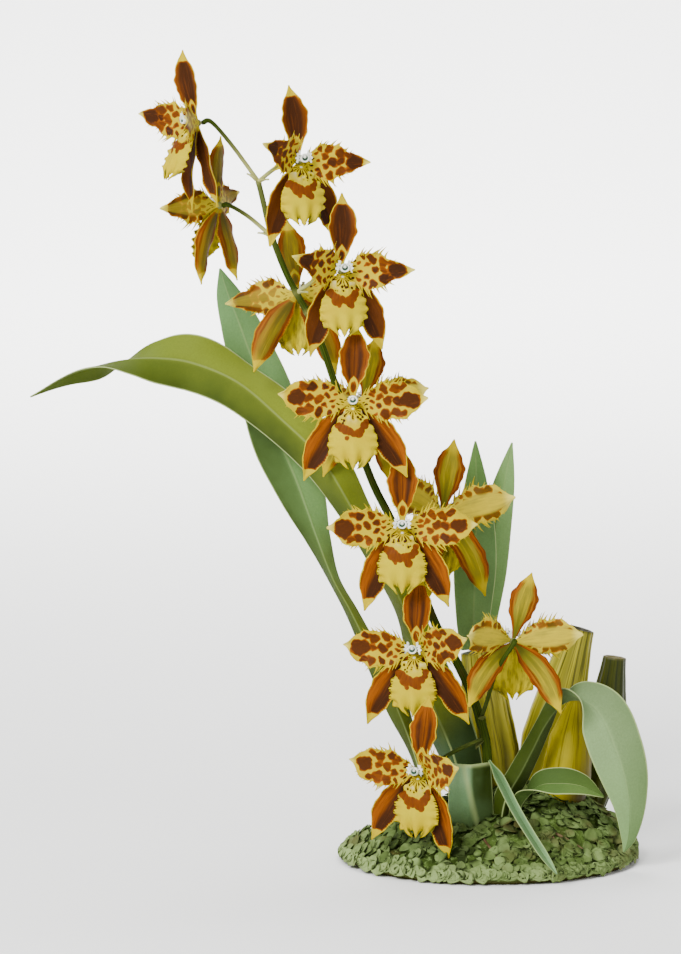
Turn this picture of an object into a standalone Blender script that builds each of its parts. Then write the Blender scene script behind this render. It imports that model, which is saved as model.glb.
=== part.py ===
"""Oncidium orchid: a whole flowering plant on its own clump of moss and roots.

The frame is in metres, +Z up. X runs to the right as the plant is seen from
the front, and Y runs away from the viewer. The origin is the centre of the
flat underside of the clump. Places along stems and leaves are written in
millimetres and scaled by MM.
"""
import math

import bmesh
import bpy
import numpy as np
from mathutils import Euler, Matrix, Vector, noise

MM = 0.001

# Driving dimensions in metres
GAP = 0.0003
LEAF_THICKNESS = 0.0010
BLADE_THICKNESS = 0.0007
CLUMP_HALF_WIDTH = 0.082
CLUMP_HALF_DEPTH = 0.070
CLUMP_HEIGHT = 0.036
CLUMP_EDGE_HEIGHT = 0.004
CLUMP_SUMMIT = (0.016, 0.012)
CLUMP_LOBE = 0.0040
CLUMP_LOBE_PITCH = 0.017
WELL_CENTRE = (-0.010, -0.010)
WELL_HALF_WIDTH = 0.037
WELL_HALF_DEPTH = 0.023
WELL_FLOOR = 0.0185
WELL_DEPTH = 0.030
SPIKE_RADIUS_LOW = 0.0027
SPIKE_RADIUS_TOP = 0.0015
PEDICEL_RADIUS = 0.0012
RHIZOME_RADIUS = 0.0045
RHIZOME_BRANCH_RADIUS = 0.0041

# Bloom sizes in metres
HUB_RADIUS = 0.0023
BLADE_ROOT = 0.0014
LIP_DROP = 0.0014
LIP_CREST = 0.0012
PETAL_ROWS = 12
SEPAL_ROWS = 6
LIP_ROWS = 7
DORSAL_LENGTH = 0.041
DORSAL_HALF_WIDTH = 0.0078
LATERAL_LENGTH = 0.048
LATERAL_HALF_WIDTH = 0.0070
PETAL_LENGTH = 0.039
PETAL_HALF_WIDTH = 0.0098
TOOTH_LENGTH = 0.0030
LIP_LENGTH = 0.033
LIP_HALF_WIDTH = 0.0128
LIP_FRILL = 0.0009
COLUMN_HALF_LENGTH = 0.0038
COLUMN_RADIUS = 0.0023

# Half width of each kind of blade, as fractions of its length and its widest place
SEPAL_OUTLINE = ((0.0, 0.09), (0.12, 0.33), (0.3, 0.72), (0.5, 1.0), (0.7, 0.86), (0.85, 0.45),
                 (0.93, 0.20), (1.0, 0.05))
PETAL_OUTLINE = ((0.0, 0.07), (0.1, 0.30), (0.25, 0.72), (0.45, 1.0), (0.65, 0.96), (0.8, 0.62),
                 (0.9, 0.27), (1.0, 0.04))
LIP_OUTLINE = ((0.0, 0.18), (0.12, 0.34), (0.3, 0.68), (0.5, 0.95), (0.65, 1.0), (0.78, 0.98),
               (0.88, 0.74), (0.94, 0.30), (1.0, 0.12))

# Colours as linear red, green and blue
BROWN = (0.20, 0.05, 0.015)
YELLOW = (0.85, 0.62, 0.10)
WHITE = (0.80, 0.82, 0.72)
SPIKE_GREEN = (0.09, 0.14, 0.03)
LEAF_GREEN = (0.24, 0.34, 0.09)
BLUE_GREEN = (0.18, 0.34, 0.22)
BULB_OLIVE = (0.36, 0.31, 0.04)
OLD_OLIVE = (0.07, 0.09, 0.02)
MOSS_GREEN = (0.06, 0.10, 0.03)
ROOT_BROWN = (0.20, 0.12, 0.06)

# Flower spike in millimetres, from its foot to its top
SPIKE_PATH = ((-2, -13, 19.1), (-1, -13, 54), (-3, -12, 72), (-9, -9, 92), (-18, -7, 111.5),
              (-28.5, -5, 130), (-38, -4, 153), (-47, -2, 174.5), (-55.5, 0, 192.5),
              (-64, 0, 209.5), (-71.5, 0, 229), (-78.5, 0, 248), (-85, 0, 265), (-92.5, 0, 287),
              (-98.5, 0, 301), (-105, 0, 313), (-111.5, 0, 325.5), (-117, 0, 339),
              (-121, 0, 351), (-124, 0, 364), (-127, 0, 376.5))


class Bloom:
    """Place, turn and spread of one flower. Angles are in degrees, lengths in millimetres."""

    def __init__(self, at, root, yaw=0.0, pitch=0.0, roll=0.0, size=1.0, dorsal=0.0,
                 dorsal_lift=-8.0, petals=(4.0, 4.0), petal_lift=(10.0, 10.0),
                 laterals=(28.0, 28.0), lateral_lift=(3.0, 3.0), reach=6.0, via=(),
                 lip_lift=(36.0, -18.0)):
        self.at = at
        self.root = root
        self.yaw = yaw
        self.pitch = pitch
        self.roll = roll
        self.size = size
        self.dorsal = dorsal
        self.dorsal_lift = dorsal_lift
        self.petals = petals
        self.petal_lift = petal_lift
        self.laterals = laterals
        self.lateral_lift = lateral_lift
        self.reach = reach
        self.via = via
        self.lip_lift = lip_lift

    def matrix(self):
        """Turn and place of the bloom, which faces -Y before it is turned."""
        turn = Euler((math.radians(self.pitch), math.radians(self.roll),
                      math.radians(self.yaw)), "YXZ")
        return Matrix.Translation(Vector(self.at) * MM) @ turn.to_matrix().to_4x4()


# The blooms from the top of the spike down; root is the place on the spike, counted in points
BLOOMS = (
    Bloom((-159.5, -12, 409), 20.0, yaw=-62, pitch=2, size=0.96, dorsal_lift=12,
          petals=(8, 10), petal_lift=(34, 38), laterals=(2, 20), lateral_lift=(6, -2),
          lip_lift=(56, 8)),
    Bloom((-148.5, 6, 363), 17.6, yaw=-128, pitch=2, size=0.91, dorsal=6, petals=(8, 0),
          petal_lift=(24, 24), laterals=(20, 20), lip_lift=(44, 0), reach=5.0),
    Bloom((-105, -24, 389), 20.0, yaw=24, size=0.98, dorsal=-4, petals=(22, -1),
          petal_lift=(38, 18), laterals=(20, 30), lateral_lift=(0, -10)),
    Bloom((-82, -26, 330), 15.2, yaw=14, dorsal=3, petals=(18, 1), petal_lift=(36, 18),
          laterals=(20, 28), lateral_lift=(0, 0)),
    Bloom((-106, 13, 313.5), 14.3, yaw=176, dorsal=7, petals=(-2, -8), petal_lift=(8, 2),
          laterals=(26, 29), lateral_lift=(-2, -2), reach=4.0),
    Bloom((-75.5, -28, 258.5), 11.4, size=1.02, dorsal=2, petals=(7, 4),
          petal_lift=(6, 6), laterals=(32, 36)),
    Bloom((-70, 10, 253), 11.0, yaw=172, size=0.93, dorsal=-12, petals=(14, 6),
          laterals=(20, 28), lateral_lift=(-3, -3), reach=3.0),
    Bloom((-48.5, -28, 190.5), 7.7, yaw=-2, size=1.03, petals=(0, 3), laterals=(24, 30)),
    Bloom((-26, 9, 191.5), 7.0, yaw=176, size=1.04, dorsal=-9, petals=(13, 38),
          petal_lift=(10, -40), laterals=(28, 10), lateral_lift=(0, 0), reach=4.0),
    Bloom((-41, -28, 121.5), 4.4, yaw=-14, dorsal=1, petals=(4, 20), petal_lift=(8, 32),
          laterals=(33, 38)),
    Bloom((12, -31, 127.5), 2.4, yaw=180, size=0.96, dorsal=-14, petals=(5, 18),
          petal_lift=(6, -46), laterals=(34, 38), lateral_lift=(-8, -32), reach=5.0,
          via=((4, -24, 84), (13, -40, 104))),
    Bloom((-38.5, -47, 58), 1.9, yaw=-25, pitch=2, dorsal=4, petals=(9, 18),
          petal_lift=(16, 36), laterals=(36, 20)),
)


class Leaf:
    """A blade along stations of x, y, z, half width, fold in degrees and its direction across."""

    def __init__(self, name, colour, rows, stations):
        self.name = name
        self.colour = colour
        self.rows = rows
        self.stations = stations


LEAVES = (
    Leaf("leaf_long", LEAF_GREEN, 22, (
        (-11, -10, 20.4, 12, 52, (0.94, -0.34, 0)),
        (-17.6, -9, 53, 15.5, 42, (0.94, -0.34, 0.2)),
        (-24, -8.5, 71, 17, 38, (0.94, -0.34, 0.2)),
        (-31, -8, 88, 17, 38, (0.94, -0.34, 0.3)),
        (-39, -5, 114, 15, 46, (0.9, -0.25, 0.4)),
        (-47.5, 0, 141.5, 13, 58, (0.9, -0.1, 0.45)),
        (-63.8, 7, 173.5, 13.5, 56, (0.88, 0, 0.45)),
        (-75.4, 11, 194, 14.5, 52, (0.86, 0, 0.5)),
        (-92.4, 17, 221, 15.5, 38, (0.8, 0, 0.6)),
        (-115, 23, 243, 16, 32, (0.65, 0, 0.75)),
        (-139, 29, 262.5, 16, 30, (0.5, 0.3, 0.8)),
        (-164, 33, 273, 16.5, 15, (0.35, 0.1, 0.93)),
        (-184, 33, 275.5, 14.5, 18, (0.1, 0.6, 0.8)),
        (-202, 31, 274.5, 12.5, 22, (0, 1, 0.15)),
        (-217, 28, 271.5, 10.5, 22, (-0.1, 0.85, -0.45)),
        (-232, 24, 267.5, 8, 20, (-0.1, 0.8, -0.55)),
        (-253.5, 17, 256, 0.5, 10, (-0.1, 0.8, -0.5)))),
    Leaf("leaf_upright_back", BLUE_GREEN, 20, (
        (-31, -2, 20.4, 5, 66, (1, 0, 0)),
        (-40, 1, 54.5, 5.5, 66, (1, 0, 0.2)),
        (-50.5, 6, 82.5, 9, 48, (0.95, 0, 0.3)),
        (-64, 12, 110.5, 8, 50, (0.92, 0, 0.38)),
        (-76, 20, 134.5, 7, 60, (0.92, 0, 0.38)),
        (-86.5, 26, 153, 7, 64, (0.9, 0, 0.45)),
        (-95, 33, 174, 9.5, 45, (0.88, 0, 0.47)),
        (-101, 37, 190.5, 12.5, 28, (0.9, 0, 0.42)),
        (-107, 41, 206.5, 15, 20, (0.92, 0, 0.38)),
        (-116, 45, 228, 16.5, 16, (0.93, 0, 0.35)),
        (-124.5, 48, 255.5, 15.5, 16, (0.94, 0, 0.33)),
        (-133, 50, 277.5, 13.5, 16, (0.92, 0, 0.38)),
        (-139, 51, 294, 11, 16, (0.92, 0, 0.38)),
        (-145, 52, 309.5, 7, 14, (0.93, 0, 0.35)),
        (-149.5, 52.5, 324, 0.5, 10, (0.95, 0, 0.3)))),
    Leaf("leaf_bulb_left", LEAF_GREEN, 10, (
        (-7, 22, 113.7, 8.5, 24, (1, 0, 0.15)),
        (-8, 26, 130, 10.5, 26, (1, 0, 0)),
        (-7, 30, 159, 13, 24, (1, 0, 0)),
        (-6.5, 33, 184, 11, 22, (1, 0, 0)),
        (-6.5, 35, 206, 6.5, 20, (1, 0, 0)),
        (-7, 36, 229, 0.5, 8, (1, 0, 0)))),
    Leaf("leaf_bulb_right", LEAF_GREEN, 10, (
        (-3, 30, 113.9, 6.5, 30, (1, 0, 0.15)),
        (-2, 37, 129, 9, 28, (1, 0, -0.1)),
        (1, 43, 153, 11, 25, (1, 0, -0.1)),
        (5, 47, 178, 9.5, 22, (1, 0, -0.15)),
        (9.5, 50, 202, 6.5, 20, (1, 0, -0.2)),
        (14, 52, 226, 0.5, 8, (1, 0, -0.2)))),
    Leaf("leaf_drooping", BLUE_GREEN, 19, (
        (5.5, -22.5, 19.8, 7, 50, (0.89, 0, -0.3)),
        (8.5, -22.5, 37, 8.5, 44, (0.89, 0, -0.45)),
        (16.5, -21.5, 51.5, 8.5, 44, (0.85, 0, -0.5)),
        (23.5, -20, 65, 8, 48, (0.85, 0, -0.5)),
        (30.5, -20, 79, 7, 50, (0.8, 0.1, -0.5)),
        (39.5, -20.5, 91, 8, 48, (0.6, 0.6, -0.3)),
        (50, -23, 93.5, 12, 36, (0.45, 0.85, 0.25)),
        (60.5, -26, 85.5, 15.5, 22, (0.75, 0.35, 0.6)),
        (68, -28, 69, 15.5, 16, (0.95, 0.1, 0.4)),
        (73.5, -29, 52.5, 13.5, 14, (1, 0, 0.25)),
        (76.5, -30, 35, 9, 13, (1, 0, 0.05)),
        (76, -31, 19, 4.5, 10, (1, 0, -0.1)),
        (73.5, -31, 10, 0.5, 6, (1, 0, -0.2)))),
    Leaf("leaf_short", BLUE_GREEN, 9, (
        (14.5, -23.5, 19.6, 4.5, 50, (0.9, 0.2, -0.3)),
        (17, -26, 35, 6, 42, (0.6, 0.6, -0.4)),
        (26, -29, 46, 8.5, 26, (0.2, 0.8, 0.45)),
        (37, -32, 48.5, 9.5, 18, (0, 0.75, 0.66)),
        (49.5, -34, 47.5, 7.5, 16, (0, 0.75, 0.66)),
        (62, -36, 42, 0.5, 8, (0, 0.75, 0.66)))),
    Leaf("leaf_narrow_front", BLUE_GREEN, 9, (
        (-0.2, -18.7, 58.6, 3.5, 50, (0.87, 0, 0.5)),
        (6.5, -30, 49, 4.5, 54, (0.87, 0, 0.5)),
        (15, -49, 35, 5, 58, (0.87, 0, 0.5)),
        (25, -66, 21, 4.3, 56, (0.87, 0, 0.5)),
        (34.5, -78, 8.5, 0.5, 20, (0.87, 0, 0.5)))),
    Leaf("sheath_front", BLUE_GREEN, 5, (
        (-10, -28.5, 19.6, 14, 44, (1, 0, 0)),
        (-10.5, -27.5, 39, 15.5, 42, (1, 0, 0)),
        (-11, -26, 58, 15, 40, (1, 0, 0)))),
)


class Bulb:
    """A pseudobulb between two points, with its half width, half depth and ribs."""

    def __init__(self, name, colour, foot, top, half_width, half_depth, outline, ribs=0):
        self.name = name
        self.colour = colour
        self.foot = foot
        self.top = top
        self.half_width = half_width
        self.half_depth = half_depth
        self.outline = outline
        self.ribs = ribs


LEAFY_OUTLINE = ((0.0, 0.45), (0.15, 0.76), (0.4, 1.0), (0.7, 0.88), (0.9, 0.68), (1.0, 0.60))
CUT_OUTLINE = ((0.0, 0.42), (0.15, 0.74), (0.4, 1.0), (0.7, 0.86), (0.9, 0.62), (1.0, 0.54))
EGG_OUTLINE = ((0.0, 0.50), (0.15, 0.82), (0.4, 1.0), (0.7, 0.84), (0.9, 0.50), (1.0, 0.25))
BULBS = (
    Bulb("pseudobulb_leafy", BULB_OLIVE, (8, 22, 18.4), (-6, 26, 111.5), 15, 11.5,
         LEAFY_OUTLINE, 9),
    Bulb("pseudobulb_cut", BULB_OLIVE, (23, 30, 19.2), (51.5, 32, 123.5), 15, 12, CUT_OUTLINE, 9),
    Bulb("pseudobulb_old", OLD_OLIVE, (60, 30, 18.4), (71.5, 34, 107), 11.5, 11, CUT_OUTLINE, 8),
    Bulb("pseudobulb_smooth", BULB_OLIVE, (40, 4, 18.4), (48.5, 6, 88), 14, 12, EGG_OUTLINE),
    Bulb("growth_young", BLUE_GREEN, (-8, 3, 17.9), (-12, 3, 62), 6.5, 5.5, EGG_OUTLINE),
)
RHIZOME_PATH = ((-14, 1, 13.1), (-8, 3, 13.1), (8, 21, 13.1), (23, 29, 13.1), (44, 26, 13.1),
                (53, 27.5, 13.1), (58, 29, 13.1))
RHIZOME_SIDE_PATH = ((44, 26, 13.1), (42, 14, 13.1), (40, 3, 13.1))
BULB_RINGS = 9
BULB_SIDES = 16


def smooth(points, along):
    """Point at the fraction along of a smooth curve through rows of numbers."""
    rows = np.asarray(points, dtype=float)
    place = min(max(along, 0.0), 1.0) * (len(rows) - 1)
    first = min(int(place), len(rows) - 2)
    t = place - first
    before = rows[max(first - 1, 0)]
    start = rows[first]
    end = rows[first + 1]
    after = rows[min(first + 2, len(rows) - 1)]
    in_slope = (end - before) * (0.5 if first > 0 else 1.0)
    out_slope = (after - start) * (0.5 if first + 2 < len(rows) else 1.0)
    blend = (2 * t**3 - 3 * t**2 + 1, t**3 - 2 * t**2 + t, 3 * t**2 - 2 * t**3, t**3 - t**2)
    return blend[0] * start + blend[1] * in_slope + blend[2] * end + blend[3] * out_slope


def width_at(outline, along):
    """Half width at the fraction along, read straight between the outline's points."""
    places, widths = zip(*outline)
    return float(np.interp(along, places, widths))


def finish(name, colour, roughness=0.5):
    """A plain material for one piece."""
    material = bpy.data.materials.new(name)
    material.use_nodes = True
    shader = material.node_tree.nodes["Principled BSDF"]
    shader.inputs["Base Color"].default_value = (*colour, 1.0)
    shader.inputs["Roughness"].default_value = roughness
    shader.inputs["Metallic"].default_value = 0.0
    return material


def new_object(name, mesh, colour, collection):
    """Wrap a mesh in an object with its own material, shaded smooth."""
    piece = bpy.data.objects.new(name, mesh)
    mesh.materials.clear()
    mesh.materials.append(finish(name, colour))
    mesh.shade_smooth()
    collection.objects.link(piece)
    return piece


def grid_blade(name, rows, columns, place, thickness, colour, collection):
    """A waved blade: a grid moved by the formula place(along, across), then given thickness."""
    sheet = bmesh.new()
    bmesh.ops.create_grid(sheet, x_segments=columns, y_segments=rows, size=1.0)
    for vertex in sheet.verts:
        vertex.co = place((vertex.co.y + 1.0) / 2.0, vertex.co.x)
    bmesh.ops.triangulate(sheet, faces=sheet.faces[:])
    mesh = bpy.data.meshes.new(name)
    sheet.to_mesh(mesh)
    sheet.free()
    piece = new_object(name, mesh, colour, collection)
    solid = piece.modifiers.new("Thickness", "SOLIDIFY")
    solid.thickness = thickness
    solid.offset = 0.0
    return piece


def round_solid(name, sides, rings, place, colour, collection):
    """A closed round solid: a sphere moved by the formula place(along, angle)."""
    ball = bmesh.new()
    bmesh.ops.create_uvsphere(ball, u_segments=sides, v_segments=rings, radius=1.0)
    for vertex in ball.verts:
        along = 0.5 + math.asin(max(-1.0, min(1.0, vertex.co.z))) / math.pi
        vertex.co = place(along, math.atan2(vertex.co.y, vertex.co.x))
    mesh = bpy.data.meshes.new(name)
    ball.to_mesh(mesh)
    ball.free()
    return new_object(name, mesh, colour, collection)


def tube(name, points, radii, colour, collection):
    """A tube through points in metres, closed at both ends."""
    line = bpy.data.curves.new(name, "CURVE")
    line.dimensions = "3D"
    line.bevel_depth = 1.0
    line.bevel_resolution = 1
    line.use_fill_caps = True
    spline = line.splines.new("POLY")
    spline.points.add(len(points) - 1)
    for node, point, radius in zip(spline.points, points, radii):
        node.co = (*point, 1.0)
        node.radius = radius
    curve = bpy.data.objects.new(name, line)
    collection.objects.link(curve)
    return as_mesh(curve, name, colour, collection, weld_caps=True)


def as_mesh(source, name, colour, collection, weld_caps=False):
    """Replace an object by a mesh object of its evaluated shape."""
    bpy.context.view_layer.update()
    graph = bpy.context.evaluated_depsgraph_get()
    mesh = bpy.data.meshes.new_from_object(source.evaluated_get(graph))
    if weld_caps:
        weld = bmesh.new()
        weld.from_mesh(mesh)
        bmesh.ops.remove_doubles(weld, verts=weld.verts[:], dist=1e-6)
        bmesh.ops.recalc_face_normals(weld, faces=weld.faces[:])
        weld.to_mesh(mesh)
        weld.free()
    matrix = source.matrix_world.copy()
    bpy.data.objects.remove(source)
    piece = new_object(name, mesh, colour, collection)
    piece.matrix_world = matrix
    return piece


def combine(base, tools, operation, colour, collection, solver="EXACT"):
    """Join or cut a base object with all the tools, apply it and remove the tools."""
    group = bpy.data.collections.new(base.name + "_tools")
    bpy.context.scene.collection.children.link(group)
    for tool in tools:
        collection.objects.unlink(tool)
        group.objects.link(tool)
    boolean = base.modifiers.new(operation.title(), "BOOLEAN")
    boolean.operation = operation
    boolean.operand_type = "COLLECTION"
    boolean.collection = group
    boolean.solver = solver
    name = base.name
    base.name = name + "_base"
    joined = as_mesh(base, name, colour, collection)
    for tool in list(group.objects):
        bpy.data.objects.remove(tool)
    bpy.data.collections.remove(group)
    return joined


def leaf_point(stations, along, across):
    """Point of a keeled leaf: its two halves rise from the midrib by the fold angle."""
    row = smooth(stations, along)
    step = 0.002
    ahead = smooth(stations, along + step)[:3] - smooth(stations, along - step)[:3]
    tangent = Vector(ahead).normalized()
    side = Vector(row[5:8])
    side = (side - tangent * side.dot(tangent)).normalized()
    normal = tangent.cross(side)
    fold = math.radians(row[4])
    spread = side * (across * math.cos(fold)) + normal * (abs(across) ** 1.15 * math.sin(fold))
    return (Vector(row[:3]) + spread * row[3]) * MM


def make_leaf(leaf, collection):
    """One leaf, as a blade of four strips across."""
    stations = [(*row[:5], *row[5]) for row in leaf.stations]
    return grid_blade(leaf.name, leaf.rows, 4, lambda along, across:
                      leaf_point(stations, along, across), LEAF_THICKNESS, leaf.colour,
                      collection)


def bulb_point(bulb, grow, along, angle):
    """Point of a pseudobulb, whose two ends are flat discs. It is grown all over by grow."""
    end_band = 1.0 / BULB_RINGS
    foot = Vector(bulb.foot) * MM
    top = Vector(bulb.top) * MM
    axis = (top - foot).normalized()
    level = min(max((along - end_band) / (1.0 - 2.0 * end_band), 0.0), 1.0)
    swell = width_at(bulb.outline, level)
    if along < end_band / 2.0 or along > 1.0 - end_band / 2.0:
        swell = 0.0
    rib = 1.0 + (0.045 * math.cos(bulb.ribs * angle) if bulb.ribs else 0.0)
    reach_x = (bulb.half_width * MM * rib + grow) * swell
    reach_y = (bulb.half_depth * MM * rib + grow) * swell
    if swell:
        reach_x = reach_x + grow * (1.0 - swell)
        reach_y = reach_y + grow * (1.0 - swell)
    side = Vector((1.0, 0.0, 0.0))
    side = (side - axis * side.dot(axis)).normalized()
    back = axis.cross(side)
    centre = foot.lerp(top, level) + axis * grow * (2.0 * level - 1.0)
    return centre + side * (reach_x * math.cos(angle)) + back * (reach_y * math.sin(angle))


def make_bulb(bulb, collection, grow=0.0, suffix=""):
    """One pseudobulb, or a grown copy of it to cut its hole."""
    return round_solid(bulb.name + suffix, BULB_SIDES, BULB_RINGS, lambda along, angle:
                       bulb_point(bulb, grow, along, angle), bulb.colour, collection)


def make_rhizome(collection, grow=0.0, suffix=""):
    """The creeping stem under the pseudobulbs, with its side branch."""
    name = "rhizome" + suffix
    lines = []
    for path in (RHIZOME_PATH, RHIZOME_SIDE_PATH):
        count = 2 * (len(path) - 1) + 1
        points = [Vector(smooth(path, i / (count - 1))) * MM for i in range(count)]
        if grow:
            points[0] = points[0] - (points[1] - points[0]).normalized() * grow
            points[-1] = points[-1] + (points[-1] - points[-2]).normalized() * grow
        lines.append(points)
    main = tube(name, lines[0], [RHIZOME_RADIUS + grow] * len(lines[0]), ROOT_BROWN, collection)
    thin = RHIZOME_BRANCH_RADIUS + grow
    side = tube(name + "_side", lines[1], [thin] * len(lines[1]), ROOT_BROWN, collection)
    return combine(main, [side], "UNION", ROOT_BROWN, collection)


def clump_edge(direction):
    """Distance from the clump's summit to its edge in a direction across the ground."""
    summit = np.array(CLUMP_SUMMIT)
    half = np.array((CLUMP_HALF_WIDTH, CLUMP_HALF_DEPTH))
    a = np.sum((direction / half) ** 2)
    b = 2.0 * np.sum(direction * summit / half**2)
    c = np.sum((summit / half) ** 2) - 1.0
    return (-b + math.sqrt(b * b - 4.0 * a * c)) / (2.0 * a)


def clump_point(along, angle):
    """Point of the mossy clump: a flat underside, a short wall and a lobed mound."""
    direction = np.array((math.cos(angle), math.sin(angle)))
    edge = clump_edge(direction)
    summit = Vector((*CLUMP_SUMMIT, 0.0))
    out = Vector((*direction, 0.0))
    underside = 0.18
    if along <= underside:
        return summit + out * (edge * 0.955 * along / underside)
    level = (along - underside) / (1.0 - underside)
    ratio = math.cos(level * math.pi / 2.0) ** 0.8
    steep = 2.1 + 0.9 * float(direction @ np.array((0.8, 0.6)))
    rise = CLUMP_HEIGHT - CLUMP_EDGE_HEIGHT
    height = CLUMP_EDGE_HEIGHT + rise * (1.0 - ratio**steep)
    point = summit + out * (edge * ratio)
    point.z = height
    cell = noise.voronoi(point / CLUMP_LOBE_PITCH)[0][0]
    point = point + (out * ratio + Vector((0, 0, 1.0 - 0.5 * ratio))) * CLUMP_LOBE * (0.4 - cell)
    return point


def make_clump(collection):
    """The clump of moss and roots, with holes for what stands in it."""
    clump = round_solid("moss_clump", 48, 13, clump_point, MOSS_GREEN, collection)
    cutters = [make_bulb(bulb, collection, GAP, "_hole") for bulb in BULBS]
    cutters.append(make_rhizome(collection, GAP, "_hole"))
    cutters.append(make_well(collection))
    return combine(clump, cutters, "DIFFERENCE", MOSS_GREEN, collection, solver="MANIFOLD")


def make_well(collection):
    """Cutter for the hollow of the clump in which the leaf bases stand."""
    drum = bmesh.new()
    bmesh.ops.create_cone(drum, cap_ends=True, segments=28, radius1=0.97, radius2=1.0, depth=1.0)
    for vertex in drum.verts:
        x = WELL_CENTRE[0] + vertex.co.x * WELL_HALF_WIDTH
        y = WELL_CENTRE[1] + vertex.co.y * WELL_HALF_DEPTH
        vertex.co = (x, y, WELL_FLOOR + (vertex.co.z + 0.5) * WELL_DEPTH)
    mesh = bpy.data.meshes.new("well")
    drum.to_mesh(mesh)
    drum.free()
    return new_object("well", mesh, MOSS_GREEN, collection)


def bend(along, length, start, end):
    """Distance out, distance forward and slope of a blade whose lift runs from start to end."""
    a = math.radians(start)
    b = math.radians(end)
    if abs(b - a) < 0.01:
        b = a + 0.01
    here = a + (b - a) * along
    out = length * (math.sin(here) - math.sin(a)) / (b - a)
    forward = length * (math.cos(a) - math.cos(here)) / (b - a)
    return out, forward, here


def organ_point(organ, along, across):
    """Point of a sepal, petal or lip that leaves the middle of a bloom facing -Y."""
    half = organ["half"] * width_at(organ["outline"], along)
    half = half + organ["margin"](along, across)
    out, forward, slope = bend(along, organ["length"], *organ["lift"])
    turn = math.radians(organ["angle"])
    radial = Vector((math.cos(turn), 0.0, math.sin(turn)))
    front = Vector((0.0, -1.0, 0.0))
    side = Vector((-math.sin(turn), 0.0, math.cos(turn)))
    normal = front * math.cos(slope) - radial * math.sin(slope)
    point = Vector(organ["start"]) + radial * (out + organ["offset"]) + front * forward
    curl = organ["cup"] * half * across**2 + organ["wave"](along, across)
    return point + side * (across * half) + normal * curl


def flat(_along, _across):
    """No wave and no teeth."""
    return 0.0


def petal_teeth(along, across):
    """Teeth on every other row of a petal's two margins."""
    row = round(along * PETAL_ROWS)
    toothed = abs(across) > 0.9 and row % 2 == 1 and 0.2 < along < 0.9
    return TOOTH_LENGTH if toothed else 0.0


def lip_frill(along, across):
    """Rise and fall of the lip's margin from row to row, and its raised crest."""
    if abs(across) > 0.9:
        return LIP_FRILL * (1 if round(along * LIP_ROWS) % 2 else -1)
    crest = math.exp(-((along - 0.16) / 0.09) ** 2)
    return LIP_CREST * crest if abs(across) < 0.1 else 0.0


def sepal(length, half, angle, lift, cup=0.25):
    """A sepal's blade. Its lift falls a little towards the tip."""
    return {"length": length, "half": half, "angle": angle, "lift": (lift + 6, lift - 8),
            "cup": cup, "outline": SEPAL_OUTLINE, "margin": flat, "wave": flat,
            "start": (0, 0, 0), "offset": BLADE_ROOT, "rows": SEPAL_ROWS, "columns": 2}


def petal(size, angle, lift):
    """A petal's toothed blade."""
    return {"length": PETAL_LENGTH * size, "half": PETAL_HALF_WIDTH * size, "angle": angle,
            "lift": (lift + 8, lift - 12), "cup": 0.22, "outline": PETAL_OUTLINE,
            "margin": petal_teeth, "wave": flat, "start": (0, 0, 0), "offset": BLADE_ROOT,
            "rows": PETAL_ROWS, "columns": 2}


def lip(size, lift):
    """The lip's frilled blade, which comes forward and then hangs."""
    return {"length": LIP_LENGTH * size, "half": LIP_HALF_WIDTH * size, "angle": -90,
            "lift": lift, "cup": -0.22, "outline": LIP_OUTLINE, "margin": flat,
            "wave": lip_frill, "start": (0, -HUB_RADIUS - GAP, -LIP_DROP), "offset": 0.0,
            "rows": LIP_ROWS, "columns": 4}


def make_organ(name, organ, colour, collection):
    """One blade of a bloom."""
    return grid_blade(name, organ["rows"], organ["columns"], lambda along, across:
                      organ_point(organ, along, across), BLADE_THICKNESS, colour, collection)


def make_perianth(name, bloom, collection):
    """Three sepals and two petals joined at the hub."""
    size = bloom.size
    left, right = bloom.petals
    left_lift, right_lift = bloom.petal_lift
    organs = [
        sepal(DORSAL_LENGTH * size, DORSAL_HALF_WIDTH * size, 90 - bloom.dorsal,
              bloom.dorsal_lift),
        sepal(LATERAL_LENGTH * size, LATERAL_HALF_WIDTH * size, -90 - bloom.laterals[0],
              bloom.lateral_lift[0]),
        sepal(LATERAL_LENGTH * size, LATERAL_HALF_WIDTH * size, -90 + bloom.laterals[1],
              bloom.lateral_lift[1]),
        petal(size, 180 - left, left_lift),
        petal(size, right, right_lift)]
    blades = [make_organ(f"{name}_blade_{i}", organ, BROWN, collection)
              for i, organ in enumerate(organs)]
    hub = round_solid(name, 7, 4, hub_point, BROWN, collection)
    return combine(hub, blades, "UNION", BROWN, collection)


def hub_point(along, angle):
    """Point of the small ball that carries a bloom's blades."""
    rise = math.pi * (along - 0.5)
    spread = math.cos(rise)
    return HUB_RADIUS * Vector((spread * math.cos(angle), -math.sin(rise),
                                spread * math.sin(angle)))


def column_point(along, angle):
    """Point of the column: a short club that points forward and a little up."""
    rise = math.pi * (along - 0.5)
    club = COLUMN_RADIUS * (0.85 + 0.3 * along)
    spread = math.cos(rise) * club
    middle = HUB_RADIUS - GAP + COLUMN_HALF_LENGTH
    ahead = middle + math.sin(rise) * COLUMN_HALF_LENGTH
    lift = 0.0018 + 0.12 * (ahead - HUB_RADIUS)
    return Vector((spread * math.cos(angle), -ahead, lift + spread * math.sin(angle)))


def make_bloom(index, bloom, collection):
    """The perianth, the lip and the column of one bloom, turned and placed together."""
    name = f"bloom_{index:02d}"
    pieces = [make_perianth(name + "_sepals_petals", bloom, collection),
              make_organ(name + "_lip", lip(bloom.size, bloom.lip_lift), YELLOW, collection),
              round_solid(name + "_column", 7, 5, column_point, WHITE, collection)]
    for piece in pieces:
        piece.matrix_world = bloom.matrix()


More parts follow.
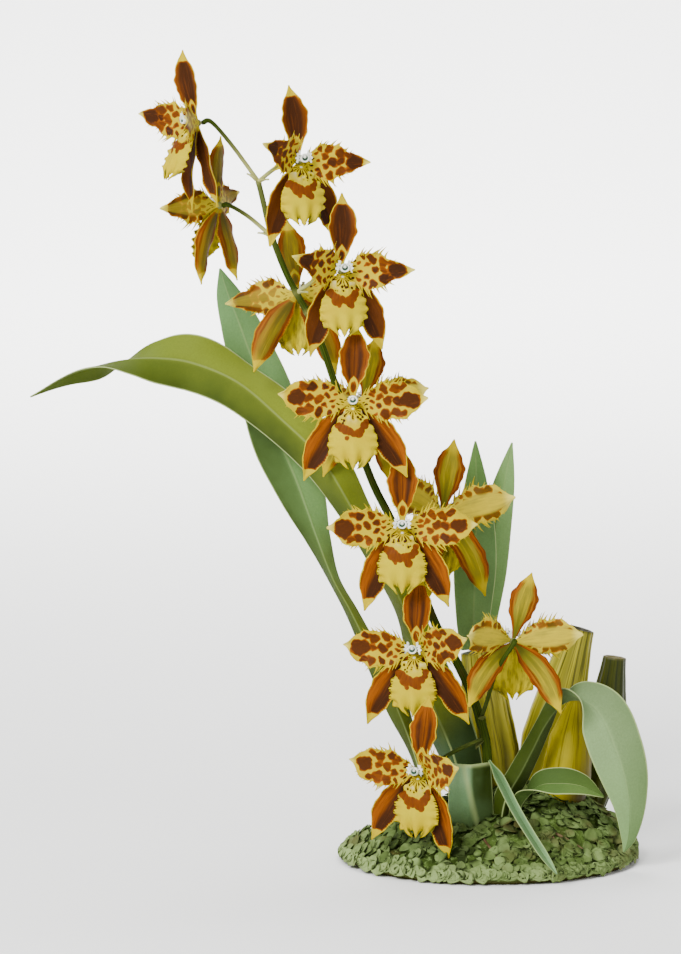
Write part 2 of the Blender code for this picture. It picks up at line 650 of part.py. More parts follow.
def pedicel_points(bloom):
    """Route of a bloom's stalk from the middle of the spike to behind its hub."""
    root = Vector(smooth(SPIKE_PATH, bloom.root / (len(SPIKE_PATH) - 1))) * MM
    matrix = bloom.matrix()
    end = matrix @ Vector((0.0, HUB_RADIUS + GAP, 0.0))
    straight = matrix @ Vector((0.0, HUB_RADIUS + bloom.reach * MM, 0.0))
    middle = [Vector(point) * MM for point in bloom.via]
    if not middle:
        middle = [root.lerp(straight, 0.55) + Vector((0.0, 0.0, 0.0015))]
    route = [root, *middle, straight, end]
    return [Vector(smooth([tuple(p) for p in route], i / 4)) for i in range(5)]


def make_stem(collection):
    """The flower spike with a stalk for every bloom."""
    count = 27
    points = [Vector(smooth(SPIKE_PATH, i / (count - 1))) * MM for i in range(count)]
    radii = np.linspace(SPIKE_RADIUS_LOW, SPIKE_RADIUS_TOP, count)
    spike = tube("flower_spike", points, radii, SPIKE_GREEN, collection)
    stalks = []
    for index, bloom in enumerate(BLOOMS, 1):
        route = pedicel_points(bloom)
        stalks.append(tube(f"stalk_{index}", route, [PEDICEL_RADIUS] * len(route), SPIKE_GREEN,
                           collection))
    return combine(spike, stalks, "UNION", SPIKE_GREEN, collection)


def clear_scene():
    """Remove the objects that the file opens with."""
    for item in list(bpy.data.objects):
        bpy.data.objects.remove(item)


def build_plant():
    """The whole plant in one collection."""
    clear_scene()
    plant = bpy.data.collections.new("oncidium_orchid")
    bpy.context.scene.collection.children.link(plant)
    make_clump(plant)
    make_rhizome(plant)
    for bulb in BULBS:
        make_bulb(bulb, plant)
    for leaf in LEAVES:
        make_leaf(leaf, plant)
    make_stem(plant)
    for index, bloom in enumerate(BLOOMS, 1):
        make_bloom(index, bloom, plant)


build_plant()
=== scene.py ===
"""Oncidium orchid: a flowering plant with spotted, fringed blooms on a mossy clump.

Laid out as a Blender add-on. Every piece is a surface worked out with numpy on a grid
of two parameters, in metres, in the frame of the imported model: X to the right, Y away
from the viewer, Z up, with the origin under the middle of the clump. Places along
stems and leaves are written in millimetres and scaled by MM.
"""

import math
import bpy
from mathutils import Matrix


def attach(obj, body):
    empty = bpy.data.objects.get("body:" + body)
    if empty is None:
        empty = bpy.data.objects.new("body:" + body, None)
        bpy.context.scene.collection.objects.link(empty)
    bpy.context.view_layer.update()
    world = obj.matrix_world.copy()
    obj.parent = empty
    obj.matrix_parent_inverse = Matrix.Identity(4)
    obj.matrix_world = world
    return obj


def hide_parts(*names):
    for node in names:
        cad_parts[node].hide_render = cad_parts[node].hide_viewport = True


bl_info = {
    "name": "Oncidium Orchid",
    "version": (1, 0, 0),
    "blender": (4, 5, 0),
    "location": "3D View > Sidebar > Orchid",
    "description": "Builds an oncidium orchid in flower on its clump of moss and roots",
    "category": "Object",
}

from dataclasses import dataclass
from types import SimpleNamespace

import bpy
import numpy as np
from bpy.props import FloatProperty, FloatVectorProperty, IntProperty, PointerProperty
from mathutils import Euler, Matrix, Vector

MM = 0.001
FULL_TURN = 2 * math.pi
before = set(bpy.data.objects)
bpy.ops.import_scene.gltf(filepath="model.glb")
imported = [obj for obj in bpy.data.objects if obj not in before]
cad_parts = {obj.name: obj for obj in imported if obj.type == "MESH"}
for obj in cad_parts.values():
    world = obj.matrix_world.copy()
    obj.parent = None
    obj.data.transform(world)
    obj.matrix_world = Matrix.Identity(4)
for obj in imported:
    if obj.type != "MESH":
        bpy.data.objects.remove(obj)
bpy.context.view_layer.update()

# The frame's own sizes, in metres
HUB_RADIUS = 0.0023
GAP = 0.0003
DORSAL = (0.041, 0.0078)
LATERAL = (0.048, 0.0070)
PETAL = (0.039, 0.0098)
LIP = (0.033, 0.0128)
COLUMN = (0.0038, 0.0023)
BLADE_ROOT = 0.0014
SPIKE_RADII = (0.0027, 0.0015)
PEDICEL_RADIUS = 0.0012
CLUMP_HALF = np.array((0.082, 0.070))
CLUMP_SUMMIT = np.array((0.016, 0.012))
CLUMP_HEIGHT = 0.036
CLUMP_EDGE_HEIGHT = 0.004

# Thicknesses of the thin pieces, and the fringe's root inside its petal, in metres
SEPAL_THICK = 0.0007
PETAL_THICK = 0.0006
LIP_THICK = 0.0006
WING_THICK = 0.0005
BRACT_THICK = 0.0004
LEAF_THICK = 0.0010
LEAFLET_THICK = 0.00035
TOOTH_ROOT = 0.0009

# Teeth on each margin of a petal, samples of an outline's running mean, and the depth of
# brown above which a bloom is one of the dark upper ones
TEETH = 14
OUTLINE_MEAN = 21
DARK_DEPTH = 0.65

# How much the veins of a leaf lighten its red, green and blue
VEIN_LIGHT = (1.5, 1.5, 1.6)

# Half width of each kind of blade, as fractions of its length and its widest place
DORSAL_OUTLINE = ((0, 0.12), (0.1, 0.24), (0.2, 0.42), (0.32, 0.74), (0.45, 1.0), (0.58, 1.04),
                  (0.7, 0.9), (0.8, 0.62), (0.88, 0.34), (0.95, 0.14), (1, 0.03))
LATERAL_OUTLINE = ((0, 0.12), (0.1, 0.42), (0.2, 0.78), (0.32, 1.0), (0.55, 1.06), (0.7, 0.95),
                   (0.8, 0.72), (0.87, 0.45), (0.94, 0.18), (1, 0.03))
PETAL_BLUNT = ((0, 0.10), (0.08, 0.28), (0.2, 0.66), (0.33, 0.95), (0.48, 1.04), (0.6, 1.02),
               (0.7, 0.94), (0.79, 0.78), (0.86, 0.52), (0.92, 0.22), (1, 0.02))
PETAL_TAILED = ((0, 0.10), (0.08, 0.30), (0.2, 0.80), (0.33, 1.05), (0.45, 1.0), (0.55, 0.86),
                (0.66, 0.62), (0.78, 0.45), (0.88, 0.26), (0.95, 0.12), (1, 0.02))
LIP_OUTLINE = ((0, 0.20), (0.08, 0.36), (0.18, 0.55), (0.3, 0.74), (0.42, 0.90), (0.55, 1.0),
               (0.68, 1.02), (0.78, 1.0), (0.86, 0.92), (0.92, 0.78), (0.96, 0.64), (1, 0.48))

# Flower spike in millimetres, from its foot to its top
SPIKE_PATH = ((-2, -13, 19.1), (-1, -13, 54), (-3, -12, 72), (-9, -9, 92), (-18, -7, 111.5),
              (-28.5, -5, 130), (-38, -4, 153), (-47, -2, 174.5), (-55.5, 0, 192.5),
              (-64, 0, 209.5), (-71.5, 0, 229), (-78.5, 0, 248), (-85, 0, 265), (-92.5, 0, 287),
              (-98.5, 0, 301), (-105, 0, 313), (-111.5, 0, 325.5), (-117, 0, 339),
              (-121, 0, 351), (-124, 0, 364), (-127, 0, 376.5))


@dataclass
class Bloom:
    """Place, turn and spread of one flower. Angles are in degrees, lengths in millimetres."""

    at: tuple
    root: float
    yaw: float = 0.0
    pitch: float = 0.0
    roll: float = 0.0
    size: float = 1.0
    dorsal: float = 0.0
    dorsal_lift: float = -8.0
    petals: tuple = (4.0, 4.0)
    petal_lift: tuple = (10.0, 10.0)
    laterals: tuple = (28.0, 28.0)
    lateral_lift: tuple = (3.0, 3.0)
    reach: float = 6.0
    via: tuple = ()
    lip_lift: tuple = (36.0, -18.0)
    depth: float = 0.5
    twist: float = 0.0
    wings: float = 3.4
    lobed: bool = True

    def matrix(self):
        """Turn and place of the bloom, which faces -Y before it is turned."""
        turn = Euler((math.radians(self.pitch), math.radians(self.roll),
                      math.radians(self.yaw)), "YXZ")
        return Matrix.Translation(Vector(self.at) * MM) @ turn.to_matrix().to_4x4()


# The blooms from the top down; root counts points of the spike, depth is how dark its brown is
BLOOMS = (
    Bloom((-159.5, -12, 409), 20.0, yaw=-62, pitch=2, size=0.96, dorsal_lift=12,
          petals=(8, 10), petal_lift=(34, 38), laterals=(2, 20), lateral_lift=(6, -2),
          lip_lift=(56, 8), depth=0.85, twist=26),
    Bloom((-148.5, 6, 363), 17.6, yaw=-128, pitch=2, size=0.91, dorsal=6, petals=(8, 0),
          petal_lift=(24, 24), laterals=(20, 20), lip_lift=(44, 0), reach=5.0, depth=0.7),
    Bloom((-105, -24, 389), 20.0, yaw=24, size=0.98, dorsal=-4, petals=(22, -1),
          petal_lift=(38, 18), laterals=(20, 30), lateral_lift=(0, -10), depth=0.95),
    Bloom((-82, -26, 330), 15.2, yaw=14, dorsal=3, petals=(18, 1), petal_lift=(36, 18),
          laterals=(20, 28), lateral_lift=(0, 0), depth=0.9),
    Bloom((-106, 13, 313.5), 14.3, yaw=176, dorsal=7, petals=(-2, -8), petal_lift=(8, 2),
          laterals=(26, 29), lateral_lift=(-2, -2), reach=4.0, depth=0.7),
    Bloom((-75.5, -28, 258.5), 11.4, size=1.02, dorsal=2, petals=(7, 4),
          petal_lift=(6, 6), laterals=(32, 36), depth=0.6, wings=1.3,
          lobed=False),
    Bloom((-70, 10, 253), 11.0, yaw=172, size=0.93, dorsal=-12, petals=(14, 6),
          laterals=(20, 28), lateral_lift=(-3, -3), reach=3.0, depth=0.5),
    Bloom((-48.5, -28, 190.5), 7.7, yaw=-2, size=1.03, petals=(0, 3), laterals=(24, 30),
          depth=0.45),
    Bloom((-26, 9, 191.5), 7.0, yaw=176, size=1.04, dorsal=-9, petals=(13, 38),
          petal_lift=(10, -40), laterals=(28, 10), lateral_lift=(0, 0), reach=4.0, depth=0.4),
    Bloom((-41, -28, 121.5), 4.4, yaw=-14, dorsal=1, petals=(4, 20), petal_lift=(8, 32),
          laterals=(33, 38), depth=0.4),
    Bloom((12, -31, 127.5), 2.4, yaw=180, size=0.96, dorsal=-14, petals=(5, 18),
          petal_lift=(6, -46), laterals=(34, 38), lateral_lift=(-8, -32), reach=5.0,
          via=((-2, -22, 92), (3, -35, 112)), depth=0.4),
    Bloom((-38.5, -47, 58), 1.9, yaw=-25, pitch=2, dorsal=4, petals=(9, 18),
          petal_lift=(16, 36), laterals=(36, 20), depth=0.45),
)

# Stations of each leaf: x, y, z, half width, fold in degrees and its direction across
LEAVES = {
    "leaf_long": (
        (-11, -10, 20.4, 12, 52, (0.94, -0.34, 0)),
        (-17.6, -9, 53, 15.5, 42, (0.94, -0.34, 0.2)),
        (-24, -8.5, 71, 17, 38, (0.94, -0.34, 0.2)),
        (-31, -8, 88, 17, 38, (0.94, -0.34, 0.3)),
        (-39, -5, 114, 15, 46, (0.9, -0.25, 0.4)),
        (-47.5, 0, 141.5, 13, 58, (0.9, -0.1, 0.45)),
        (-63.8, 7, 173.5, 13.5, 56, (0.88, 0, 0.45)),
        (-75.4, 11, 194, 14.5, 52, (0.86, 0, 0.5)),
        (-92.4, 17, 221, 15.5, 38, (0.8, 0, 0.6)),
        (-115, 23, 243, 16, 32, (0.65, 0, 0.75)),
        (-139, 29, 262.5, 16, 30, (0.5, 0.3, 0.8)),
        (-164, 33, 273, 16.5, 15, (0.35, 0.1, 0.93)),
        (-184, 33, 275.5, 14.5, 18, (0.1, 0.6, 0.8)),
        (-202, 31, 274.5, 12.5, 22, (0, 1, 0.15)),
        (-217, 28, 271.5, 10.5, 22, (-0.1, 0.85, -0.45)),
        (-232, 24, 267.5, 8, 20, (-0.1, 0.8, -0.55)),
        (-253.5, 17, 256, 0.5, 10, (-0.1, 0.8, -0.5))),
    "leaf_upright_back": (
        (-31, -2, 20.4, 5, 66, (1, 0, 0)),
        (-40, 1, 54.5, 5.5, 66, (1, 0, 0.2)),
        (-50.5, 6, 82.5, 9, 48, (0.95, 0, 0.3)),
        (-64, 12, 110.5, 8, 50, (0.92, 0, 0.38)),
        (-76, 20, 134.5, 7, 60, (0.92, 0, 0.38)),
        (-86.5, 26, 153, 7, 64, (0.9, 0, 0.45)),
        (-95, 33, 174, 9.5, 45, (0.88, 0, 0.47)),
        (-101, 37, 190.5, 12.5, 28, (0.9, 0, 0.42)),
        (-107, 41, 206.5, 15, 20, (0.92, 0, 0.38)),
        (-116, 45, 228, 16.5, 16, (0.93, 0, 0.35)),
        (-124.5, 48, 255.5, 15.5, 16, (0.94, 0, 0.33)),
        (-133, 50, 277.5, 13.5, 16, (0.92, 0, 0.38)),
        (-139, 51, 294, 11, 16, (0.92, 0, 0.38)),
        (-145, 52, 309.5, 7, 14, (0.93, 0, 0.35)),
        (-149.5, 52.5, 324, 0.5, 10, (0.95, 0, 0.3))),
    "leaf_bulb_left": (
        (-7, 22, 113.7, 8.5, 24, (1, 0, 0.15)),
        (-8, 26, 130, 10.5, 26, (1, 0, 0)),
        (-7, 30, 159, 13, 24, (1, 0, 0)),
        (-6.5, 33, 184, 11, 22, (1, 0, 0)),
        (-6.5, 35, 206, 6.5, 20, (1, 0, 0)),
        (-7, 36, 229, 0.5, 8, (1, 0, 0))),
    "leaf_bulb_right": (
        (-3, 30, 113.9, 6.5, 30, (1, 0, 0.15)),
        (-2, 37, 129, 9, 28, (1, 0, -0.1)),
        (1, 43, 153, 11, 25, (1, 0, -0.1)),
        (5, 47, 178, 9.5, 22, (1, 0, -0.15)),
        (9.5, 50, 202, 6.5, 20, (1, 0, -0.2)),
        (14, 52, 226, 0.5, 8, (1, 0, -0.2))),
    "leaf_drooping": (
        (5.5, -22.5, 19.8, 7, 50, (0.89, 0, -0.3)),
        (8.5, -22.5, 37, 8.5, 44, (0.89, 0, -0.45)),
        (16.5, -21.5, 51.5, 8.5, 44, (0.85, 0, -0.5)),
        (23.5, -20, 65, 8, 48, (0.85, 0, -0.5)),
        (30.5, -20, 79, 7, 50, (0.8, 0.1, -0.5)),
        (39.5, -20.5, 91, 8, 48, (0.6, 0.6, -0.3)),
        (50, -23, 93.5, 12, 36, (0.45, 0.85, 0.25)),
        (60.5, -26, 85.5, 15.5, 22, (0.75, 0.35, 0.6)),
        (68, -28, 69, 15.5, 16, (0.95, 0.1, 0.4)),
        (73.5, -29, 52.5, 13.5, 14, (1, 0, 0.25)),
        (76.5, -30, 35, 9, 13, (1, 0, 0.05)),
        (76, -31, 19, 4.5, 10, (1, 0, -0.1)),
        (73.5, -31, 10, 0.5, 6, (1, 0, -0.2))),
    "leaf_short": (
        (14.5, -23.5, 19.6, 4.5, 50, (0.9, 0.2, -0.3)),
        (17, -26, 35, 6, 42, (0.6, 0.6, -0.4)),
        (26, -29, 46, 8.5, 26, (0.2, 0.8, 0.45)),
        (37, -32, 48.5, 9.5, 18, (0, 0.75, 0.66)),
        (49.5, -34, 47.5, 7.5, 16, (0, 0.75, 0.66)),
        (62, -36, 42, 0.5, 8, (0, 0.75, 0.66))),
    "leaf_narrow_front": (
        (-0.2, -18.7, 58.6, 3.5, 50, (0.87, 0, 0.5)),
        (6.5, -30, 49, 4.5, 54, (0.87, 0, 0.5)),
        (15, -49, 35, 5, 58, (0.87, 0, 0.5)),
        (25, -66, 21, 4.3, 56, (0.87, 0, 0.5)),
        (34.5, -78, 8.5, 0.5, 20, (0.87, 0, 0.5))),
    "sheath_front": (
        (-10, -28.5, 19.6, 15.5, 34, (1, 0, 0)),
        (-10.5, -27.5, 39, 15.5, 38, (1, 0, 0)),
        (-11, -26, 58, 15, 40, (1, 0, 0))),
}

# Looks of each leaf: colour at its foot, middle and tip, strengths of its margin and midrib,
# and where along it the foot's colour ends
LEAF_LOOKS = {
    "leaf_long": ((0.050, 0.105, 0.042), (0.165, 0.200, 0.016), (0.078, 0.110, 0.010), 0.9, 0.22,
                  (0.08, 0.22)),
    "leaf_upright_back": ((0.090, 0.112, 0.010), (0.120, 0.22, 0.070), (0.108, 0.220, 0.078),
                          0.6, 0.2, (0.28, 0.48)),
    "leaf_bulb_left": ((0.13, 0.22, 0.070), (0.12, 0.23, 0.075), (0.11, 0.22, 0.06), 0.8, 0.2,
                       (0.05, 0.5)),
    "leaf_bulb_right": ((0.10, 0.20, 0.05), (0.16, 0.28, 0.09), (0.17, 0.30, 0.10), 0.8, 0.2,
                        (0.05, 0.5)),
    "leaf_drooping": ((0.021, 0.033, 0.002), (0.21, 0.31, 0.135), (0.150, 0.25, 0.090), 0.6, 0.12,
                      (0.36, 0.50)),
    "leaf_short": ((0.03, 0.055, 0.010), (0.065, 0.12, 0.026), (0.075, 0.13, 0.028), 0.9, 0.4,
                   (0.05, 0.5)),
    "leaf_narrow_front": ((0.08, 0.16, 0.06), (0.15, 0.265, 0.120), (0.15, 0.26, 0.11), 0.5, 1.0,
                          (0.05, 0.5)),
    "sheath_front": ((0.070, 0.125, 0.040), (0.130, 0.240, 0.110), (0.18, 0.30, 0.150), 0.8, 0.5,
                     (0.05, 0.5)),
}

# Half width of each kind of pseudobulb, as fractions of its length and its widest place
LEAFY_OUTLINE = ((0.0, 0.45), (0.15, 0.76), (0.4, 1.0), (0.7, 0.88), (0.9, 0.68), (1.0, 0.60))
CUT_OUTLINE = ((0.0, 0.42), (0.15, 0.74), (0.4, 1.0), (0.7, 0.86), (0.9, 0.62), (1.0, 0.54))
DOMED_OUTLINE = ((0.0, 0.50), (0.15, 0.82), (0.4, 1.0), (0.7, 0.84), (0.9, 0.50), (1.0, 0.25))

# Pseudobulbs: foot, top, half width, half depth, outline and ribs
BULBS = {
    "pseudobulb_leafy": ((8, 22, 18.4), (-6, 26, 111.5), 15, 11.5, LEAFY_OUTLINE, 9),
    "pseudobulb_cut": ((23, 30, 19.2), (51.5, 32, 123.5), 15, 12, CUT_OUTLINE, 9),
    "pseudobulb_old": ((60, 30, 18.4), (71.5, 34, 107), 11.5, 11, CUT_OUTLINE, 8),
    "pseudobulb_smooth": ((40, 4, 18.4), (48.5, 6, 88), 14, 12, DOMED_OUTLINE, 0),
    "growth_young": ((-8, 3, 17.9), (-12, 3, 62), 6.5, 5.5, DOMED_OUTLINE, 0),
}

# Rings past a pseudobulb's top: width as a fraction of the top's, and height above it
BULB_HOLLOW = ((0.93, 0.0003), (0.80, -0.0002), (0.62, -0.0011), (0.32, -0.0015))
BULB_DOME = ((0.85, 0.0006), (0.55, 0.0012), (0.2, 0.0014))

# Strength of the painted shade on a pseudobulb's right side and foot
BULB_PAINTED_SHADE = {"pseudobulb_smooth": 1.0, "pseudobulb_leafy": 0.3}

# Looks of each pseudobulb: ground, streak and cut-face colours, and how strong the streaks are; the
# streak colour is also that of its painted shade
BULB_LOOKS = {
    "pseudobulb_leafy": ((0.66, 0.57, 0.055), (0.040, 0.042, 0.004), (0.05, 0.06, 0.012), 0.85),
    "pseudobulb_cut": ((0.42, 0.37, 0.024), (0.030, 0.034, 0.003), (0.02, 0.018, 0.006), 0.88),
    "pseudobulb_old": ((0.046, 0.052, 0.003), (0.012, 0.018, 0.003), (0.10, 0.085, 0.03), 0.8),
    "pseudobulb_smooth": ((0.42, 0.34, 0.002), (0.045, 0.032, 0.002), (0.12, 0.12, 0.02), 0.60),
    "growth_young": ((0.05, 0.09, 0.02), (0.02, 0.04, 0.008), (0.05, 0.08, 0.02), 0.4),
}

# Rhizome in millimetres, under the pseudobulbs
RHIZOME_PATH = ((-14, 1, 13.1), (-8, 3, 13.1), (8, 21, 13.1), (23, 29, 13.1), (44, 26, 13.1),
                (53, 27.5, 13.1), (58, 29, 13.1))

# Brown blotches of a petal: fractions along and across, radius in millimetres, length by width
PETAL_SPOTS = (
    (0.755, 0.02, 5.1, 1.15), (0.675, -0.74, 2.6, 1.2), (0.67, 0.74, 2.6, 1.2),
    (0.565, -0.60, 3.1, 1.1), (0.545, 0.62, 3.2, 1.0), (0.565, 0.02, 2.5, 0.9),
    (0.445, 0.04, 2.7, 1.0), (0.425, -0.70, 2.7, 0.8), (0.395, 0.72, 2.7, 0.8),
    (0.335, -0.30, 2.0, 1.1), (0.325, 0.32, 2.0, 1.1), (0.29, -0.82, 1.8, 0.8),
    (0.285, 0.83, 1.8, 0.8), (0.24, 0.0, 1.35, 1.6), (0.225, -0.50, 1.35, 1.4),
    (0.215, 0.52, 1.35, 1.4), (0.165, -0.26, 0.85, 2.4), (0.16, 0.30, 0.85, 2.4),
    (0.155, -0.84, 0.9, 1.2), (0.15, 0.84, 0.9, 1.2), (0.11, 0.0, 0.6, 3.2),
    (0.085, -0.45, 0.55, 3.0), (0.085, 0.45, 0.55, 3.0))

# Brown mark of the lip, a broad scalloped W: sideways in millimetres, fraction along, radius
LIP_SPOTS = (
    (-8.0, 0.32, 2.1), (-6.0, 0.38, 2.4), (-3.9, 0.42, 2.3), (-1.7, 0.43, 2.1), (0.5, 0.46, 2.2),
    (2.7, 0.45, 2.3), (4.7, 0.41, 2.2), (6.4, 0.35, 2.0), (7.4, 0.28, 1.6), (-3.2, 0.56, 1.3))
LIP_LOBES = ((-4.9, 0.45, 2.5), (-3.6, 0.50, 2.1), (-0.9, 0.47, 1.9), (2.6, 0.50, 2.3),
             (3.6, 0.54, 1.9), (5.4, 0.44, 2.0))

# Painted shade on each leaf's two halves, as how much darker each is: fraction along, left, right
LEAF_PAINTED_SHADE = {
    "leaf_long": ((0, 0.15, 0.75), (0.12, 0.3, 0.75), (0.22, 0.9, 0.1), (0.45, 0.85, 0.0),
                  (0.6, 0.85, 0.1), (0.75, 0.75, 0.1), (0.88, 0.45, 0.6), (1, 0.3, 0.5)),
    "leaf_upright_back": ((0, 0.7, 0.1), (0.3, 0.8, 0.05), (0.42, 1.0, 0.0), (0.64, 1.0, 0.0),
                          (0.76, 0.5, 0.0), (0.87, 0.1, 0.1), (1, 0.1, 0.1)),
    "leaf_bulb_left": ((0, 0.0, 0.15), (0.3, 0.05, 0.3), (1, 0.0, 0.2)),
    "leaf_bulb_right": ((0, 0.5, 0.1), (0.5, 0.3, 0.0), (1, 0.1, 0.0)),
    "leaf_drooping": ((0, 0.2, 0.7), (0.3, 0.3, 0.8), (0.48, 0.5, 0.6), (0.6, 0.0, 0.45),
                      (1, 0.0, 0.5)),
    "leaf_short": ((0, 0.5, 0.5), (0.5, 0.0, 0.6), (1, 0.0, 0.5)),
    "leaf_narrow_front": ((0, 0.3, 0.1), (1, 0.5, 0.0)),
    "sheath_front": ((0, 0.2, 0.6), (0.5, 0.0, 1.15), (1, 0.0, 1.1)),
}

# Slots that differ from leaf_blue_green for the leaves and bulb_striped for the pseudobulbs
SLOTS = {
    "leaf_long": "leaf_green", "leaf_bulb_left": "leaf_green", "leaf_bulb_right": "leaf_green",
    "sheath_front": "sheath_green", "growth_young": "sheath_green",
    "pseudobulb_old": "bulb_old", "pseudobulb_smooth": "bulb_yellow",
}

# Lights: place, target, width, power and spread in degrees
LIGHTS = {
    "key_light": ((-0.9, -1.3, 1.25), (-0.05, 0, 0.2), 0.8, 66.0, 180.0),
    "fill_light": ((1.3, -1.1, 0.7), (-0.05, 0, 0.2), 1.1, 9.0, 180.0),
    "top_light": ((-0.2, 0.5, 1.5), (-0.05, 0, 0.2), 0.8, 14.0, 180.0),
    "backdrop_light": ((0, 2.9, 2.3), (0, 3.1, 0.2), 3.6, 230.0, 100.0),
}
SKY_STRENGTH = 0.6

# Camera: where it looks, the width it sees there and its farthest sight in metres, and its
# sensor in millimetres
VIEW_TARGET = (-0.0822, 0.0, 0.2138)
VIEW_WIDTH = 0.5247
VIEW_END = 30.0
SENSOR_WIDTH = 36.0


def hermite(rows, along):
    """Smooth curve through rows of numbers at the fractions along.

    Between two rows it is the cubic whose slope at each row is half the difference
    of that row's two neighbours.
    """
    rows = np.asarray(rows, dtype=float)
    along = np.atleast_1d(np.asarray(along, dtype=float))
    place = np.clip(along, 0.0, 1.0) * (len(rows) - 1)
    first = np.minimum(place.astype(int), len(rows) - 2)
    t = (place - first)[:, None]
    before, start, end = rows[np.maximum(first - 1, 0)], rows[first], rows[first + 1]
    after = rows[np.minimum(first + 2, len(rows) - 1)]
    in_slope = (end - before) * np.where(first > 0, 0.5, 1.0)[:, None]
    out_slope = (after - start) * np.where(first + 2 < len(rows), 0.5, 1.0)[:, None]
    return ((2 * t**3 - 3 * t**2 + 1) * start + (t**3 - 2 * t**2 + t) * in_slope
            + (3 * t**2 - 2 * t**3) * end + (t**3 - t**2) * out_slope)


def soft_outline(outline, along):
    """Half width at each fraction along: the outline's straight runs, rounded by a running mean."""
    fine = np.linspace(0.0, 1.0, 401)
    straight = np.interp(fine, *np.transpose(outline))
    padded = np.pad(straight, OUTLINE_MEAN // 2, mode="reflect", reflect_type="odd")
    rounded = np.convolve(padded, np.ones(OUTLINE_MEAN) / OUTLINE_MEAN, mode="valid")
    return np.interp(along, fine, np.maximum(rounded, 0.02))


def step(low, high, value):
    """Smooth rise from 0 at low to 1 at high: 3t^2 - 2t^3."""
    t = np.clip((value - low) / (high - low), 0.0, 1.0)
    return t * t * (3.0 - 2.0 * t)


def bell(offset, width, power=2):
    """Hump of height one that falls off as exp(-(offset / width)^power)."""
    return np.exp(-(offset / width)**power)


def unit(vectors):
    """Vectors scaled to length one."""
    return vectors / np.maximum(np.linalg.norm(vectors, axis=-1, keepdims=True), 1e-12)


def grid(rows, columns, low=-1.0):
    """Two arrays of a grid: fractions along from 0 to 1, and across from low to 1."""
    return np.meshgrid(np.linspace(0, 1, rows), np.linspace(low, 1, columns), indexing="ij")


def full_turn(count):
    """Evenly spaced angles of one turn."""
    return np.linspace(0.0, FULL_TURN, count, endpoint=False)


def thinned(thickness, across):
    """Thickness of a blade, which falls by the fourth power of the fraction across."""
    return thickness * (1 - 0.45 * across**4)


def sheet_normals(points):
    """Normal of a grid of points: the cross product of its slopes along and across."""
    return unit(np.cross(np.gradient(points, axis=0), np.gradient(points, axis=1)))


def shell_faces(rows, columns):
    """Four-sided faces of a closed thin shell: front, back and rim, of a grid of points."""
    index = np.arange(rows * columns).reshape(rows, columns)
    front = np.stack([index[:-1, :-1], index[1:, :-1], index[1:, 1:], index[:-1, 1:]], -1)
    front = front.reshape(-1, 4)
    back = front[:, ::-1] + rows * columns
    ring = np.concatenate([index[0, :-1], index[:-1, -1], index[-1, :0:-1], index[:0:-1, 0]])
    ahead = np.roll(ring, -1)
    rim = np.stack([ring, ahead, ahead + rows * columns, ring + rows * columns], -1)
    return np.concatenate([front, back, rim])


def tube_faces(rings, sides):
    """Faces of a closed tube: four-sided bands between its rings and a fan at each end."""
    index = np.arange(rings * sides).reshape(rings, sides)
    ahead = np.roll(index, -1, axis=1)
    bands = np.stack([index[:-1], ahead[:-1], ahead[1:], index[1:]], -1).reshape(-1, 4)
    pole, none = np.full(sides, rings * sides), np.full(sides, -1)
    foot = np.stack([ahead[0], index[0], pole, none], -1)
    top = np.stack([index[-1], ahead[-1], pole + 1, none], -1)
    return np.concatenate([bands, foot, top])


